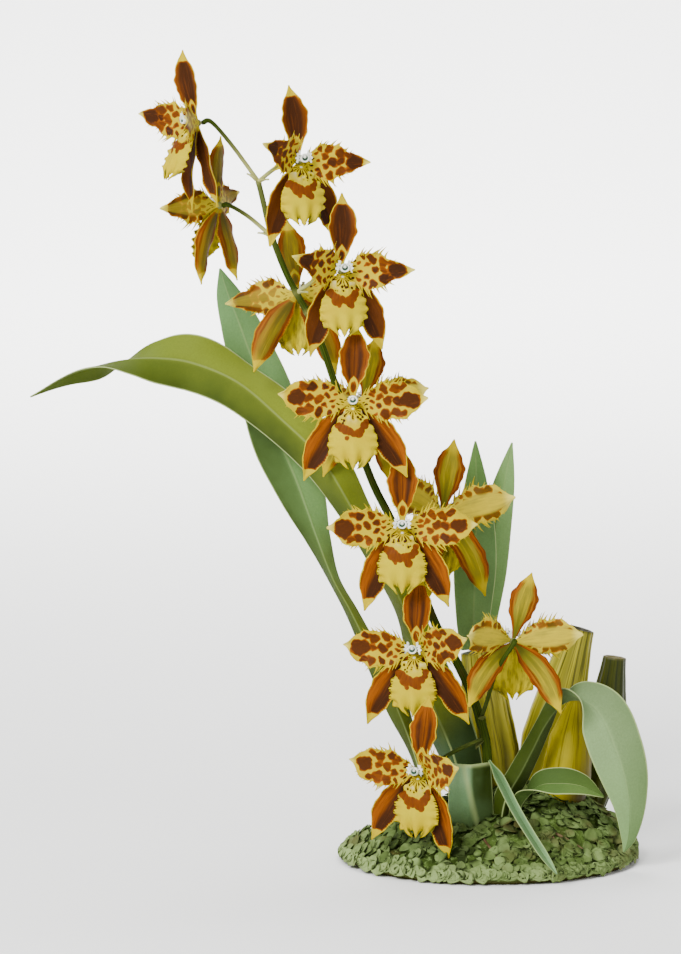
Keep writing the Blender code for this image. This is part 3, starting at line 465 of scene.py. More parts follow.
class Skin:
    """Closed parts of one piece, gathered as arrays of points, faces and values."""

    def __init__(self):
        self.points, self.faces, self.slots = [], [], []
        self.values = {"uv": [], "mark": [], "side": [], "shade": []}
        self.count = 0

    def add(self, points, faces, slot=0, **values):
        """Add one closed part. Its faces are turned over if its signed volume is negative."""
        points = np.asarray(points, dtype=float).reshape(-1, 3)
        fourth = np.where(faces[:, 3] < 0, faces[:, 2], faces[:, 3])
        a, b, c, d = (points[corner] for corner in (*faces[:, :3].T, fourth))
        if np.sum(a * np.cross(b, c)) + np.sum(a * np.cross(c, d)) < 0:
            faces = np.where(faces[:, 3:] < 0, faces[:, [1, 0, 2, 3]], faces[:, ::-1])
        self.faces.append(np.where(faces < 0, -1, faces + self.count))
        self.slots.append(np.full(len(faces), slot))
        self.points.append(points)
        for name, stock in self.values.items():
            width = 2 if name == "uv" else 1
            value = np.asarray(values.get(name, 0.0), dtype=float)
            stock.append(np.broadcast_to(value.reshape(-1, width) if value.ndim else value,
                                         (len(points), width)))
        self.count += len(points)

    def sheet(self, points, thickness, slot=0, back=1.0, **values):
        """Add a thin shell: the sheet moved both ways along its normals by half its thickness.

        The side value is 0 on the front and back on the other face.
        """
        rows, columns = points.shape[:2]
        offset = np.broadcast_to(thickness, (rows, columns))[..., None] / 2 * sheet_normals(points)
        along, over = grid(rows, columns, 0.0)
        uv = np.stack([over, along], -1).reshape(-1, 2)
        doubled = {name: np.tile(np.broadcast_to(value, (rows, columns)).ravel(), 2)
                   for name, value in values.items()}
        self.add(np.stack([points + offset, points - offset]), shell_faces(rows, columns), slot,
                 uv=np.tile(uv, (2, 1)), side=np.repeat([0.0, back], rows * columns), **doubled)

    def tube(self, rings, slot=0, **values):
        """Add a closed tube through rings of points, with a pole in the middle of each end.

        A value is one number, one for each ring, or one for each point of each ring.
        """
        count, sides = rings.shape[:2]
        points = np.concatenate([rings.reshape(-1, 3), rings[:1].mean(1), rings[-1:].mean(1)])
        around = np.abs(np.linspace(-1, 1, sides, endpoint=False))
        uv = np.stack([np.tile(around, count), np.repeat(np.linspace(0, 1, count), sides)], -1)
        spread = {}
        for name, value in values.items():
            value = np.asarray(value, dtype=float)
            value = np.broadcast_to(value[:, None] if value.ndim == 1 else value, (count, sides))
            spread[name] = np.append(value, [value[0].mean(), value[-1].mean()])
        self.add(points, tube_faces(count, sides), slot,
                 uv=np.concatenate([uv, [[0.5, 0.0], [0.5, 1.0]]]), **spread)

    def turned(self, matrix):
        """Turn and move every point gathered so far by a matrix."""
        turn = np.array(matrix)
        self.points = [p @ turn[:3, :3].T + turn[:3, 3] for p in self.points]

    def piece(self, name, materials, slot, *nodes):
        """Make the mesh object, set it on the plant's body and let it stand for its nodes."""
        faces = np.concatenate(self.faces)
        corners = faces >= 0
        loops, sizes = faces[corners], corners.sum(1)
        mesh = bpy.data.meshes.new(name)
        mesh.vertices.add(self.count)
        mesh.vertices.foreach_set("co", np.concatenate(self.points).ravel())
        mesh.loops.add(len(loops))
        mesh.loops.foreach_set("vertex_index", loops.astype(np.int32))
        mesh.polygons.add(len(faces))
        mesh.polygons.foreach_set("loop_start", (np.cumsum(sizes) - sizes).astype(np.int32))
        mesh.update(calc_edges=True)
        for material in materials:
            mesh.materials.append(material)
        mesh.polygons.foreach_set("material_index", np.concatenate(self.slots).astype(np.int32))
        uv = np.concatenate(self.values["uv"])[loops]
        mesh.uv_layers.new(name="Surface").data.foreach_set("uv", uv.ravel())
        for key in ("mark", "side", "shade"):
            layer = mesh.attributes.new(key, "FLOAT", "POINT")
            layer.data.foreach_set("value", np.concatenate(self.values[key]).ravel())
        mesh.shade_smooth()
        mesh.validate()
        piece = bpy.data.objects.new(name, mesh)
        bpy.context.scene.collection.objects.link(piece)
        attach(piece, "root")
        if nodes:
            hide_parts(*nodes)

    def dress(self, node, slot, *finishes):
        """Make the piece that stands for one node of the frame, in named finishes."""
        self.piece(node + "_dressed", [kept_finish(name) for name in finishes], slot, node)


def tube_rings(path, radii, sides):
    """Rings round a path: at each point a circle of the given radius square to the path."""
    tangent = unit(np.gradient(path, axis=0))
    seed = np.eye(3)[np.argmin(np.abs(tangent.mean(0)))]
    right = unit(seed - tangent * (tangent @ seed)[:, None])
    up = np.cross(tangent, right)
    angle = full_turn(sides)[None, :, None]
    radii = np.broadcast_to(radii, len(path))[:, None, None]
    return path[:, None] + radii * (np.cos(angle) * right[:, None] + np.sin(angle) * up[:, None])


class Value:
    """Output of a shader node, which adds, subtracts and multiplies as a number does."""

    def __init__(self, wires, socket):
        self.wires = wires
        self.socket = socket

    def __add__(self, other):
        return self.wires.maths("ADD", self, other)

    def __sub__(self, other):
        return self.wires.maths("SUBTRACT", self, other)

    def __mul__(self, other):
        return self.wires.maths("MULTIPLY", self, other)

    def __abs__(self):
        return self.wires.maths("ABSOLUTE", self)


class Wires:
    """Short ways to add and join the shader nodes of one tree."""

    def __init__(self, tree):
        self.tree = tree

    def add(self, kind, output=0, settings=(), **inputs):
        """Add a node, set its properties and its inputs, named or numbered; one output."""
        node = self.tree.nodes.new("ShaderNode" + kind)
        for key, value in dict(settings).items():
            setattr(node, key, value)
        for key, value in inputs.items():
            spot = int(key[1:]) if key[1:].isdigit() else key.replace("_", " ")
            self.feed(node.inputs[spot], value)
        return Value(self, node.outputs[output])

    def feed(self, socket, value):
        """Link a socket to an output, or set its value."""
        if isinstance(value, Value):
            self.tree.links.new(value.socket, socket)
        elif socket.type == "RGBA":
            socket.default_value = (*value, 1.0)
        else:
            socket.default_value = value

    def maths(self, operation, first, second=0.0, clamp=False):
        """One sum of two numbers."""
        return self.add("Math", settings={"operation": operation, "use_clamp": clamp}, n0=first,
                        n1=second)

    def rise(self, value, low, high):
        """Smooth mask from 0 where the value is low to 1 where it is high."""
        return self.add("MapRange", settings={"interpolation_type": "SMOOTHSTEP"}, Value=value,
                        From_Min=low, From_Max=high)

    def ramp(self, value, first, last, low=0.0, high=1.0):
        """Straight run from first where the value is low to last where it is high."""
        return self.add("MapRange", Value=value, From_Min=low, From_Max=high, To_Min=first,
                        To_Max=last)

    def mix(self, factor, first, second, blend="MIX"):
        """Blend of two colours."""
        return self.add("Mix", 2, {"data_type": "RGBA", "blend_type": blend}, Factor=factor,
                        n6=first, n7=second)

    def layers(self, colour, *coats):
        """A colour with others laid over it in order, each by its mask."""
        for mask, coat in coats:
            colour = self.mix(mask, colour, coat)
        return colour

    def noise(self, vector, scale, detail=3.0, rough=0.5):
        """Cloudy value about 0.5."""
        return self.add("TexNoise", "Fac", Vector=vector, Scale=scale, Detail=detail,
                        Roughness=rough)

    def attribute(self, name):
        """A value kept on the mesh."""
        return self.add("Attribute", "Fac", {"attribute_name": name})

    def place(self):
        """Object coordinates in metres."""
        return self.add("TexCoord", "Object")

    def surface(self):
        """The piece's own map."""
        return self.add("UVMap", "UV", {"uv_map": "Surface"})

    def fractions(self):
        """Fractions across and along, from the piece's own map."""
        split = self.add("SeparateXYZ", Vector=self.surface()).socket.node
        return Value(self, split.outputs[0]), Value(self, split.outputs[1])

    def streaks(self, across, along, detail=3.0, rough=0.6):
        """Noise drawn out along a blade."""
        stretched = self.add("Mapping", Vector=self.surface(), Scale=(across, along, 1.0))
        return self.noise(stretched, 1.0, detail, rough)

    def use(self, name, **inputs):
        """Place a shared node group, built at its first use, and give its outputs."""
        node = self.tree.nodes.new("ShaderNodeGroup")
        node.node_tree = bpy.data.node_groups.get(name) or GROUPS[name](name)
        for key, value in inputs.items():
            self.feed(node.inputs[key], value)
        return [Value(self, socket) for socket in node.outputs]


class Finish(Wires):
    """A new material with its Principled shader, and the wires to feed it."""

    def __init__(self, name, roughness, gloss=0.06):
        self.material = bpy.data.materials.new(name)
        self.material.use_nodes = True
        super().__init__(self.material.node_tree)
        self.shader = self.tree.nodes["Principled BSDF"].inputs
        self.shader["Roughness"].default_value = roughness
        self.shader["Specular IOR Level"].default_value = gloss

    def painted(self, colour, height, strength, distance):
        """Feed the shader its colour and the bump of a height, and give the material."""
        self.feed(self.shader["Base Color"], colour)
        self.feed(self.shader["Normal"], self.add("Bump", Height=height, Strength=strength,
                                                  Distance=distance))
        return self.material


def group(name, outputs, **inputs):
    """A new group of number sockets: its wires and inputs, and a function that ends it."""
    tree = bpy.data.node_groups.new(name, "ShaderNodeTree")
    for label, default in inputs.items():
        tree.interface.new_socket(name=label, in_out="INPUT",
                                  socket_type="NodeSocketFloat").default_value = default
    for label in outputs:
        tree.interface.new_socket(name=label, in_out="OUTPUT", socket_type="NodeSocketFloat")
    wires = Wires(tree)
    source = tree.nodes.new("NodeGroupInput").outputs
    result = tree.nodes.new("NodeGroupOutput").inputs

    def ended(*values):
        for label, value in zip(outputs, values):
            wires.feed(result[label], value)
        return tree

    return wires, [Value(wires, source[label]) for label in inputs], ended


def vein_group(name):
    """Parallel veins of a blade: lines along it that wander a little, as a mask and a height."""
    w, (count, wander), ended = group(name, ("Mask", "Height"), Count=30.0, Wander=0.15)
    across, _ = w.fractions()
    phase = (across + w.streaks(9.0, 2.5, rough=0.5) * wander) * count
    mask = w.rise(w.maths("PINGPONG", phase, 0.5), 0.36, 0.5)
    strength = w.streaks(46.0, 5.0, 4.0)
    return ended(mask * strength, (mask + strength) * 0.5)


def blotch_group(name):
    """Edge of a brown mark: the kept distance in millimetres, roughened, as mask and core."""
    w, (distance, rough), ended = group(name, ("Mask", "Core"), Distance=0.0, Rough=0.6)
    ragged = distance + (w.noise(w.place(), 620.0, 2.0) - 0.5) * rough
    return ended(w.rise(ragged, -0.10, 0.14), w.rise(ragged, 0.15, 1.0))


def mottle_group(name):
    """Soft large and small patches over a living surface, each about 0.5."""
    w, (large, small), ended = group(name, ("Patches", "Grain"), Large=60.0, Small=700.0)
    place = w.place()
    return ended(w.noise(place, large), w.noise(place, small, rough=0.6))


GROUPS = {"Parallel Veins": vein_group, "Blotch Edge": blotch_group,
          "Living Mottle": mottle_group}


def brown_of(w, colours, core, streak):
    """Brown of a mark: orange brown to chestnut by shade and core, with long streaks.

    A shade above one darkens the whole mark.
    """
    shade = w.attribute("shade")
    light = w.mix(w.rise(streak, 0.42, 0.66), colours.brown_orange, colours.brown_mid)
    deep = w.mix(w.rise(streak, 0.50, 0.75), colours.brown_dark, colours.brown_mid)
    return w.layers(light, (w.maths("MULTIPLY", shade, core, clamp=True), deep),
                    (w.rise(shade, 1.0, 1.4), colours.brown_dark))


def petal_finish(colours):
    """Petals: yellow with roughened chestnut blotches, and a pale olive back."""
    w = Finish("petal_spotted", 0.55)
    vein, ridges = w.use("Parallel Veins", Count=22.0, Wander=0.25)
    blotch, core = w.use("Blotch Edge", Distance=w.attribute("mark"), Rough=0.35)
    patches, _ = w.use("Living Mottle", Large=110.0, Small=1200.0)
    across, along = w.fractions()
    brown = brown_of(w, colours, core, w.streaks(10.0, 5.0))
    front = w.layers(colours.yellow, (w.rise(patches, 0.45, 0.8), colours.lemon),
                     (vein * 0.2, colours.brown_orange),
                     (w.rise(along, 0.88, 0.97), colours.yellow_pale), (blotch, brown))
    shows = blotch * w.rise(abs(across - 0.5), 0.22, 0.32)
    back = w.layers(colours.back_olive, (w.rise(w.streaks(6.0, 1.5), 0.3, 0.6), colours.yellow),
                    (0.15, colours.yellow_pale), (w.rise(along, 0.8, 0.95), colours.yellow_pale),
                    (shows * 0.9, brown))
    return w.painted(w.mix(w.attribute("side"), front, back), ridges, 0.35, 0.0003)


def sepal_finish(colours):
    """Sepals: brown with dark bands, yellow margins and tips, and an olive-centred back."""
    w = Finish("sepal_banded", 0.5)
    _, ridges = w.use("Parallel Veins", Count=18.0, Wander=0.2)
    band, core = w.use("Blotch Edge", Distance=w.attribute("mark"), Rough=0.9)
    across, along = w.fractions()
    streak = w.streaks(9.0, 1.6)
    front = w.mix(band, colours.yellow, brown_of(w, colours, core, streak))
    off = abs(across - 0.5)
    keel = w.rise(off, 0.16, 0.03) * w.rise(along, 0.75, 0.35)
    brim = w.mix(w.rise(streak, 0.4, 0.6), colours.brown_orange, colours.brown_mid)
    rimmed = w.rise(off + (streak - 0.5) * 0.5, 0.21, 0.33) * w.rise(along, 0.90, 0.78)
    back = w.layers(colours.back_olive, (w.rise(streak, 0.45, 0.72), colours.yellow),
                    (keel * 0.7, colours.green), (w.rise(along, 0.5, 0.1), colours.green),
                    (w.rise(along, 0.74, 0.90), colours.yellow), (rimmed, brim))
    return w.painted(w.mix(w.attribute("side"), front, back), ridges, 0.5, 0.0003)


def lip_finish(colours):
    """Lip: lemon yellow with the brown W, dark dashes, a white crest and a greenish hem."""
    w = Finish("lip_marked", 0.55)
    vein, ridges = w.use("Parallel Veins", Count=34.0, Wander=0.3)
    mark, core = w.use("Blotch Edge", Distance=w.attribute("mark"), Rough=0.5)
    patches, _ = w.use("Living Mottle", Large=90.0, Small=1200.0)
    _, along = w.fractions()
    streak, shade = w.streaks(12.0, 4.0), w.attribute("shade")
    brown = w.layers(colours.brown_orange, (w.rise(streak, 0.35, 0.65), colours.brown_mid),
                     (w.ramp(core, 0.3, 0.75), colours.brown_mid),
                     (shade * -1.0, colours.brown_dark))
    hem = w.rise(along, 0.86, 0.97) * w.rise(streak, 0.45, 0.6)
    front = w.layers(colours.lemon, (w.rise(patches, 0.35, 0.7), colours.yellow),
                     (vein * 0.3, colours.yellow), (shade, colours.white), (hem, colours.green),
                     (mark, brown))
    back = w.mix(w.rise(streak, 0.35, 0.7), colours.lemon, colours.back_olive)
    return w.painted(w.mix(w.attribute("side"), front, back), ridges, 0.45, 0.0004)


def column_finish(colours):
    """Column: white with grey patches of painted shade and green-grey marks."""
    w = Finish("column_white", 0.4)
    patches, grain = w.use("Living Mottle", Large=260.0, Small=1500.0)
    mark, _ = w.use("Blotch Edge", Distance=w.attribute("mark"), Rough=0.5)
    white = w.layers(colours.white, (w.rise(patches, 0.45, 0.7), colours.column_painted_shade),
                     (mark, colours.column_green))
    return w.painted(white, grain, 0.2, 0.0002)


def stem_finish(colours):
    """Stems: dark olive green, paler where shade is high, with fine lengthwise lines."""
    w = Finish("stem_olive", 0.6, 0.04)
    patches, grain = w.use("Living Mottle", Large=90.0, Small=900.0)
    lines = w.rise(w.streaks(16.0, 12.0), 0.4, 0.7)
    green = w.layers(colours.stem_dark, (lines, colours.stem_light),
                     (w.attribute("shade"), colours.stem_pale),
                     (w.rise(patches, 0.58, 0.75) * 0.5, colours.stem_brown))
    return w.painted(green, grain, 0.25, 0.0003)


def leaf_finish(name, colours):
    """One leaf: three colours along it, a pale midrib and margin, fine veins and a paler back.

    The mark value paints shade on a leaf's darker half, in patches, and the shade value lightens
    the sheath's rim.
    """
    foot, middle, tip, margin, midrib, ends = LEAF_LOOKS[name]
    w = Finish(name + "_green", 0.5, 0.04)
    vein, ridges = w.use("Parallel Veins", Count=44.0, Wander=0.05)
    patches, grain = w.use("Living Mottle", Large=38.0, Small=900.0)
    across, along = w.fractions()
    cloud = patches - 0.5
    place = along + cloud * 0.15
    green = w.layers(foot, (w.rise(place, *ends), middle), (w.rise(place, 0.5, 0.95), tip))
    speckle = w.ramp(patches * 0.5 + grain * 0.5, 0.80, 1.20, 0.25, 0.75)
    green = w.mix(1.0, green, speckle, "MULTIPLY")
    green = w.mix(vein * 0.5, green, VEIN_LIGHT, "MULTIPLY")
    mark, off = w.attribute("mark"), across - 0.5
    slant, width = (0.3, 0.10) if name == "sheath_front" else (0.0, 0.028)
    keel = w.rise(abs(off + (along - 0.5) * slant), width, 0.004)
    strength = w.maths("ADD", w.rise(along, 0.15, 0.08) * 0.6, midrib, clamp=True)
    # Painted shade: the mark value darkens one half of the leaf towards the shade colour
    green = w.layers(green, (mark + cloud * (mark * 0.9), colours.leaf_painted_shade),
                     (keel * strength, colours.leaf_pale),
                     (w.rise(abs(off), 0.468, 0.490) * margin, colours.leaf_pale))
    under = w.mix(0.10, green, colours.leaf_under)
    green = w.layers(green, (w.attribute("side"), under),
                     (w.attribute("shade"), colours.leaf_pale))
    w.feed(w.shader["Roughness"], w.ramp(grain, 0.42, 0.62))
    return w.painted(green, ridges, 0.25, 0.0003)


def bulb_finish(name):
    """One pseudobulb: ochre ground, dark lengthwise streaks, and a dry cut face at its top."""
    ground, streak, face, strength = BULB_LOOKS[name]
    w = Finish(name + "_skin", 0.45, 0.12)
    patches, grain = w.use("Living Mottle", Large=45.0, Small=800.0)
    lines = w.streaks(9.0, 0.9) * 0.65 + w.streaks(34.0, 1.6) * 0.35
    dulled = tuple(0.8 * c + 0.2 * s for c, s in zip(ground, streak))
    skin = w.layers(ground, (w.rise(patches, 0.3, 0.75), dulled),
                    (w.rise(lines, 0.50, 0.61) * strength, streak),
                    # The mark value lays painted shade in the streak colour
                    (w.attribute("mark"), streak), (w.attribute("shade"), face))
    w.feed(w.shader["Roughness"], w.ramp(grain, 0.30, 0.52))
    return w.painted(skin, lines, 0.4, 0.0008)


def moss_finish(colours):
    """Moss: deep and mid green cushions with brown hollows."""
    w = Finish("moss_cushion", 0.9, 0.0)
    patches, grain = w.use("Living Mottle", Large=55.0, Small=420.0)
    green = w.layers(colours.moss_dark, (w.rise(patches, 0.35, 0.68), colours.moss_mid),
                     (w.rise(grain, 0.5, 0.75) * 0.7, colours.moss_light),
                     (w.attribute("shade"), colours.moss_brown))
    return w.painted(green, grain, 0.9, 0.0016)


def leaflet_finish(colours):
    """Moss leaflets: green, pale, brown and dark by place, darker at the foot."""
    w = Finish("moss_leaflet", 0.75, 0.05)
    patches, grain = w.use("Living Mottle", Large=34.0, Small=900.0)
    tones, _ = w.use("Living Mottle", Large=75.0, Small=160.0)
    _, along = w.fractions()
    green = w.layers(colours.moss_mid, (w.rise(tones, 0.38, 0.62), colours.moss_light),
                     (w.rise(patches, 0.54, 0.68), colours.moss_brown),
                     (w.rise(patches, 0.44, 0.34), colours.moss_dark),
                     # Painted shade under the plant, with a random tone: the shade value darkens
                     # the leaflets
                     (w.attribute("shade"), colours.moss_dark),
                     (w.attribute("mark"), colours.moss_pale),
                     (w.rise(along, 0.45, 0.0), colours.moss_dark))
    return w.painted(green, grain, 0.4, 0.0004)


def root_finish(colours):
    """Roots: pale brown with darker patches."""
    w = Finish("root_bark", 0.8, 0.05)
    patches, grain = w.use("Living Mottle", Large=120.0, Small=1100.0)
    brown = w.mix(w.rise(patches, 0.3, 0.7), colours.root_dark, colours.root_light)
    return w.painted(brown, grain, 0.6, 0.0005)


FINISHES = {"petal_spotted": petal_finish, "sepal_banded": sepal_finish,
            "lip_marked": lip_finish, "column_white": column_finish, "stem_olive": stem_finish,
            "moss_cushion": moss_finish, "moss_leaflet": leaflet_finish,
            "root_bark": root_finish}


def kept_finish(name):
    """The finish of that name in the scene's colours, made at its first use."""
    return bpy.data.materials.get(name) or FINISHES[name](bpy.context.scene.orchid_colours)


def blade(bloom, sizes, outline, angle, lift, shape, cup, wave=0.0, ripples=1.0, phase=0.0,
          start=(0.0, 0.0, 0.0), offset=BLADE_ROOT, bow=0.0, twist=0.0):
    """Grid of one blade of a bloom that faces -Y, with its fractions and sizes in millimetres.

    The middle line leaves the hub at the angle and bends as an arc whose lift runs evenly
    from lift[0] to lift[1], and bows sideways as a half sine. The half width follows the
    outline, and the blade twists about its middle line. Across it the blade cups as the
    square of the fraction across, and its margins wave as a sine of the place along.
    """
    length = sizes[0] * bloom.size
    along, across = grid(*shape)
    half = sizes[1] * bloom.size * soft_outline(outline, along)
    a, b = math.radians(lift[0]), math.radians(lift[1])
    slope = a + (b - a) * along
    out = length * (np.sin(slope) - math.sin(a)) / (b - a) + offset
    forward = length * (math.cos(a) - np.cos(slope)) / (b - a)
    turn = math.radians(angle)
    radial = np.array((math.cos(turn), 0.0, math.sin(turn)))
    side = np.array((-math.sin(turn), 0.0, math.cos(turn)))
    front = np.array((0.0, -1.0, 0.0))
    normal = np.cos(slope)[..., None] * front - np.sin(slope)[..., None] * radial
    roll = (math.radians(twist) * step(0.0, 0.35, along))[..., None]
    side, normal = (np.cos(roll) * side + np.sin(roll) * normal,
                    np.cos(roll) * normal - np.sin(roll) * side)
    swing = wave * np.sin(FULL_TURN * ripples * along + phase + 1.1 * across)
    curl = cup * half * across**2 + swing * np.abs(across)**3 * step(0.08, 0.3, along)
    points = (np.array(start) + out[..., None] * radial + forward[..., None] * front
              + (across * half + bow * np.sin(math.pi * along))[..., None] * side
              + curl[..., None] * normal)
    half, length = half / MM, length / MM
    return SimpleNamespace(points=points, along=along, across=across, half=half, length=length,
                           inset=(1 - np.abs(across)) * half)


def uneven(sheet, rng, depth):
    """Let the margins of a blade in and out by two sines along each of them."""
    along, across = sheet.along, sheet.across
    middle = sheet.points[:, sheet.points.shape[1] // 2, None]
    left, right = rng.uniform(0, 6.3, 2)
    phase = np.where(across < 0, left, right)
    bumps = depth * (np.sin(24 * along + phase) + 0.7 * np.sin(43 * along + 2 * phase))
    ease = across**2 * step(0.05, 0.25, along) * step(1.0, 0.85, along)
    sheet.points = middle + (sheet.points - middle) * (1 + bumps * ease)[..., None]


def spot_fields(sheet, rng, mirror):
    """Signed distance in millimetres to the nearest spot's edge, and that spot's darkness.

    Each spot is an oval whose outline is bent by sines of the place, so neighbours that
    touch join into one scalloped blotch. The smallest spots are the darkest.
    """
    x = sheet.along * sheet.length
    y = sheet.across * sheet.half
    turn = rng.uniform(0, 6.3, 4)
    x, y = ((x + 0.45 * np.sin(1.0 * y + turn[0]) + 0.2 * np.sin(2.3 * y + turn[1]))[..., None],
            (y + 0.45 * np.sin(0.9 * x + turn[2]) + 0.2 * np.sin(2.1 * x + turn[3]))[..., None])
    spots = np.asarray(PETAL_SPOTS)
    jitter = rng.uniform(-1, 1, spots.shape)
    place = spots[:, 0] + 0.016 * jitter[:, 0]
    across = mirror * spots[:, 1] + 0.07 * jitter[:, 1]
    radius = spots[:, 2] * (1.0 + 0.16 * jitter[:, 2])
    stretch = np.sqrt(spots[:, 3] * (1 + 0.2 * jitter[:, 3]))
    dx = x - place * sheet.length
    dy = y - across * np.interp(place, sheet.along[:, 0], sheet.half[:, 0])
    lean = 0.5 * across + rng.uniform(-0.25, 0.25, len(spots))
    reach = np.hypot((dx + lean * dy) / stretch, (dy - lean * dx) * stretch) - radius
    darkness = rng.uniform(0.45, 1.0, len(spots))
    darkness[0] = 0.95
    darkness[spots[:, 2] < 1.0] = 2.0
    return -reach.min(-1), darkness[np.argmin(reach, axis=-1)]


def add_teeth(skin, sheet, rng, longest):
    """Fringe of a petal: flat spikes with broad feet that leave its margins."""
    rows, columns = sheet.points.shape[:2]
    shape = (TEETH, 1, 1, 1)
    level = np.linspace(0.0, 1.0, 5)[:, None, None]
    angle = full_turn(6)[:, None]
    for edge, inner in ((0, 3), (columns - 1, columns - 4)):
        place = np.linspace(0.13, 0.86, TEETH) + rng.uniform(-0.017, 0.017, TEETH)
        row = np.clip((place * (rows - 1)).round().astype(int), 1, rows - 2)
        base, inside, before, after = (
            sheet.points[spot][:, None, None]
            for spot in ((row, edge), (row, inner), (row - 1, edge), (row + 1, edge)))
        out, tipward = unit(base - inside), unit(after - before)
        flat = unit(np.cross(out, tipward))
        lean = rng.uniform(0.1, 0.8, shape)
        way = unit(out + lean * tipward + rng.uniform(-0.3, 0.3, shape) * flat)
        shorter = (1.0 - 0.75 * step(0.5, 0.8, place)).reshape(shape)
        reach = longest * rng.uniform(0.45, 1.15, shape) * shorter
        thick = np.clip(reach * 0.30, 0.0004, 0.0010) * (1.0 - 0.93 * level**0.7)
        cones = (base - TOOTH_ROOT * out + way * (reach + TOOTH_ROOT) * level
                 + tipward * (reach * 0.3 * level**2)
                 + thick * (np.cos(angle) * unit(np.cross(flat, way))
                            + 0.3 * np.sin(angle) * flat))
        for cone in cones:
            skin.tube(cone, 1, mark=-2.0)


def add_petal(skin, bloom, number, rng):
    """One petal: waved margins, separate brown spots, a plain tail and a fringe of teeth."""
    angle = (180 - bloom.petals[0], bloom.petals[1])[number]
    lift = bloom.petal_lift[number]
    outline, back = (PETAL_TAILED, 0.38) if bloom.depth > DARK_DEPTH else (PETAL_BLUNT, 0.95)
    sheet = blade(bloom, PETAL, outline, angle, (lift + 8, lift - 12), (72, 31), 0.22, 0.0011,
                  rng.uniform(2.6, 3.8), rng.uniform(0, 6.3))
    uneven(sheet, rng, 0.05)
    mark, darkness = spot_fields(sheet, rng, (-1.0, 1.0)[number])
    tail = (0.90 - sheet.along) * sheet.length
    mark = np.minimum(np.minimum(mark, sheet.inset - 0.12), tail)
    shade = np.clip(darkness * (0.8 + 0.3 * bloom.depth), 0, 1) + (darkness > 1) * 0.4
    skin.sheet(sheet.points, thinned(PETAL_THICK, sheet.across), 1, back, mark=mark, shade=shade)
    add_teeth(skin, sheet, rng, 0.0044 * bloom.size)


def add_sepals(skin, bloom, rng):
    """Dorsal sepal with its small foot patch, and two lateral sepals with a dark inner band."""
    back = 0.5 if bloom.depth > DARK_DEPTH else 1.0
    lift = bloom.dorsal_lift
    sheet = blade(bloom, DORSAL, DORSAL_OUTLINE, 90 - bloom.dorsal, (lift + 6, lift - 8),
                  (60, 25), 0.25, 0.0007, 1.6, rng.uniform(0, 6.3), twist=bloom.twist)
    uneven(sheet, rng, 0.05)
    along, across = sheet.along, np.abs(sheet.across)
    main = np.minimum(along - 0.31 + 0.13 * across, 0.85 - along) * sheet.length
    patch = 1.9 - np.hypot((along - 0.17) * sheet.length * 0.6, sheet.across * sheet.half)
    mark = np.minimum(np.maximum(main, patch), sheet.inset - 0.4)
    ribs = bell(across - 0.42, 0.24) * step(0.92, 0.55, along) + 0.8 * bell(across, 0.06)
    upper = step(0.45, 0.8, bloom.depth)
    centre = 1.3 * bell(across, 0.85, 4)
    shade = ribs * (1 - upper) + 0.85 * centre * upper
    skin.sheet(sheet.points, thinned(SEPAL_THICK, across), 0, back, mark=mark,
               shade=np.clip(shade, 0, 1))
    for number, inner in enumerate((1.0, -1.0)):
        lift = bloom.lateral_lift[number]
        sheet = blade(bloom, LATERAL, LATERAL_OUTLINE, -90 - inner * bloom.laterals[number],
                      (lift + 6, lift - 8), (64, 25), 0.25, 0.0008, 2.2, rng.uniform(0, 6.3),
                      bow=-0.0032 * inner * bloom.size)
        uneven(sheet, rng, 0.035)
        along, across = sheet.along, sheet.across * inner
        comb = 0.22 * np.cos(FULL_TURN * 30 * along) * (across > 0)
        ends = np.minimum(0.86 - 0.04 * across - along, along - 0.07) * sheet.length
        band = step(-0.45, 0.05, across + 0.12 * np.sin(9 * along))
        skin.sheet(sheet.points, thinned(SEPAL_THICK, across), 0, back,
                   mark=np.minimum(ends, sheet.inset - 0.45 - comb),
                   shade=np.maximum(band, 0.8 * step(0.6, 0.9, bloom.depth)))


def ball_levels(count):
    """Angles of a ball's rings, from near one pole to near the other."""
    return np.linspace(-0.48 * math.pi, 0.48 * math.pi, count)


def perianth(index, bloom):
    """Sepals and petals of one bloom, on the small ball of its hub: rings along Y."""
    rng = np.random.default_rng(400 + index)
    skin = Skin()
    add_sepals(skin, bloom, rng)
    add_petal(skin, bloom, 0, rng)
    add_petal(skin, bloom, 1, rng)
    rise, radius = ball_levels(12), 0.9 * HUB_RADIUS
    path = np.stack([0 * rise, radius * np.sin(rise), 0 * rise], -1)
    skin.tube(tube_rings(path, radius * np.cos(rise), 16), 2, shade=0.35)
    skin.turned(bloom.matrix())
    skin.dress(f"bloom_{index:02d}_sepals_petals", "sepals_petals", "sepal_banded",
               "petal_spotted", "stem_olive")


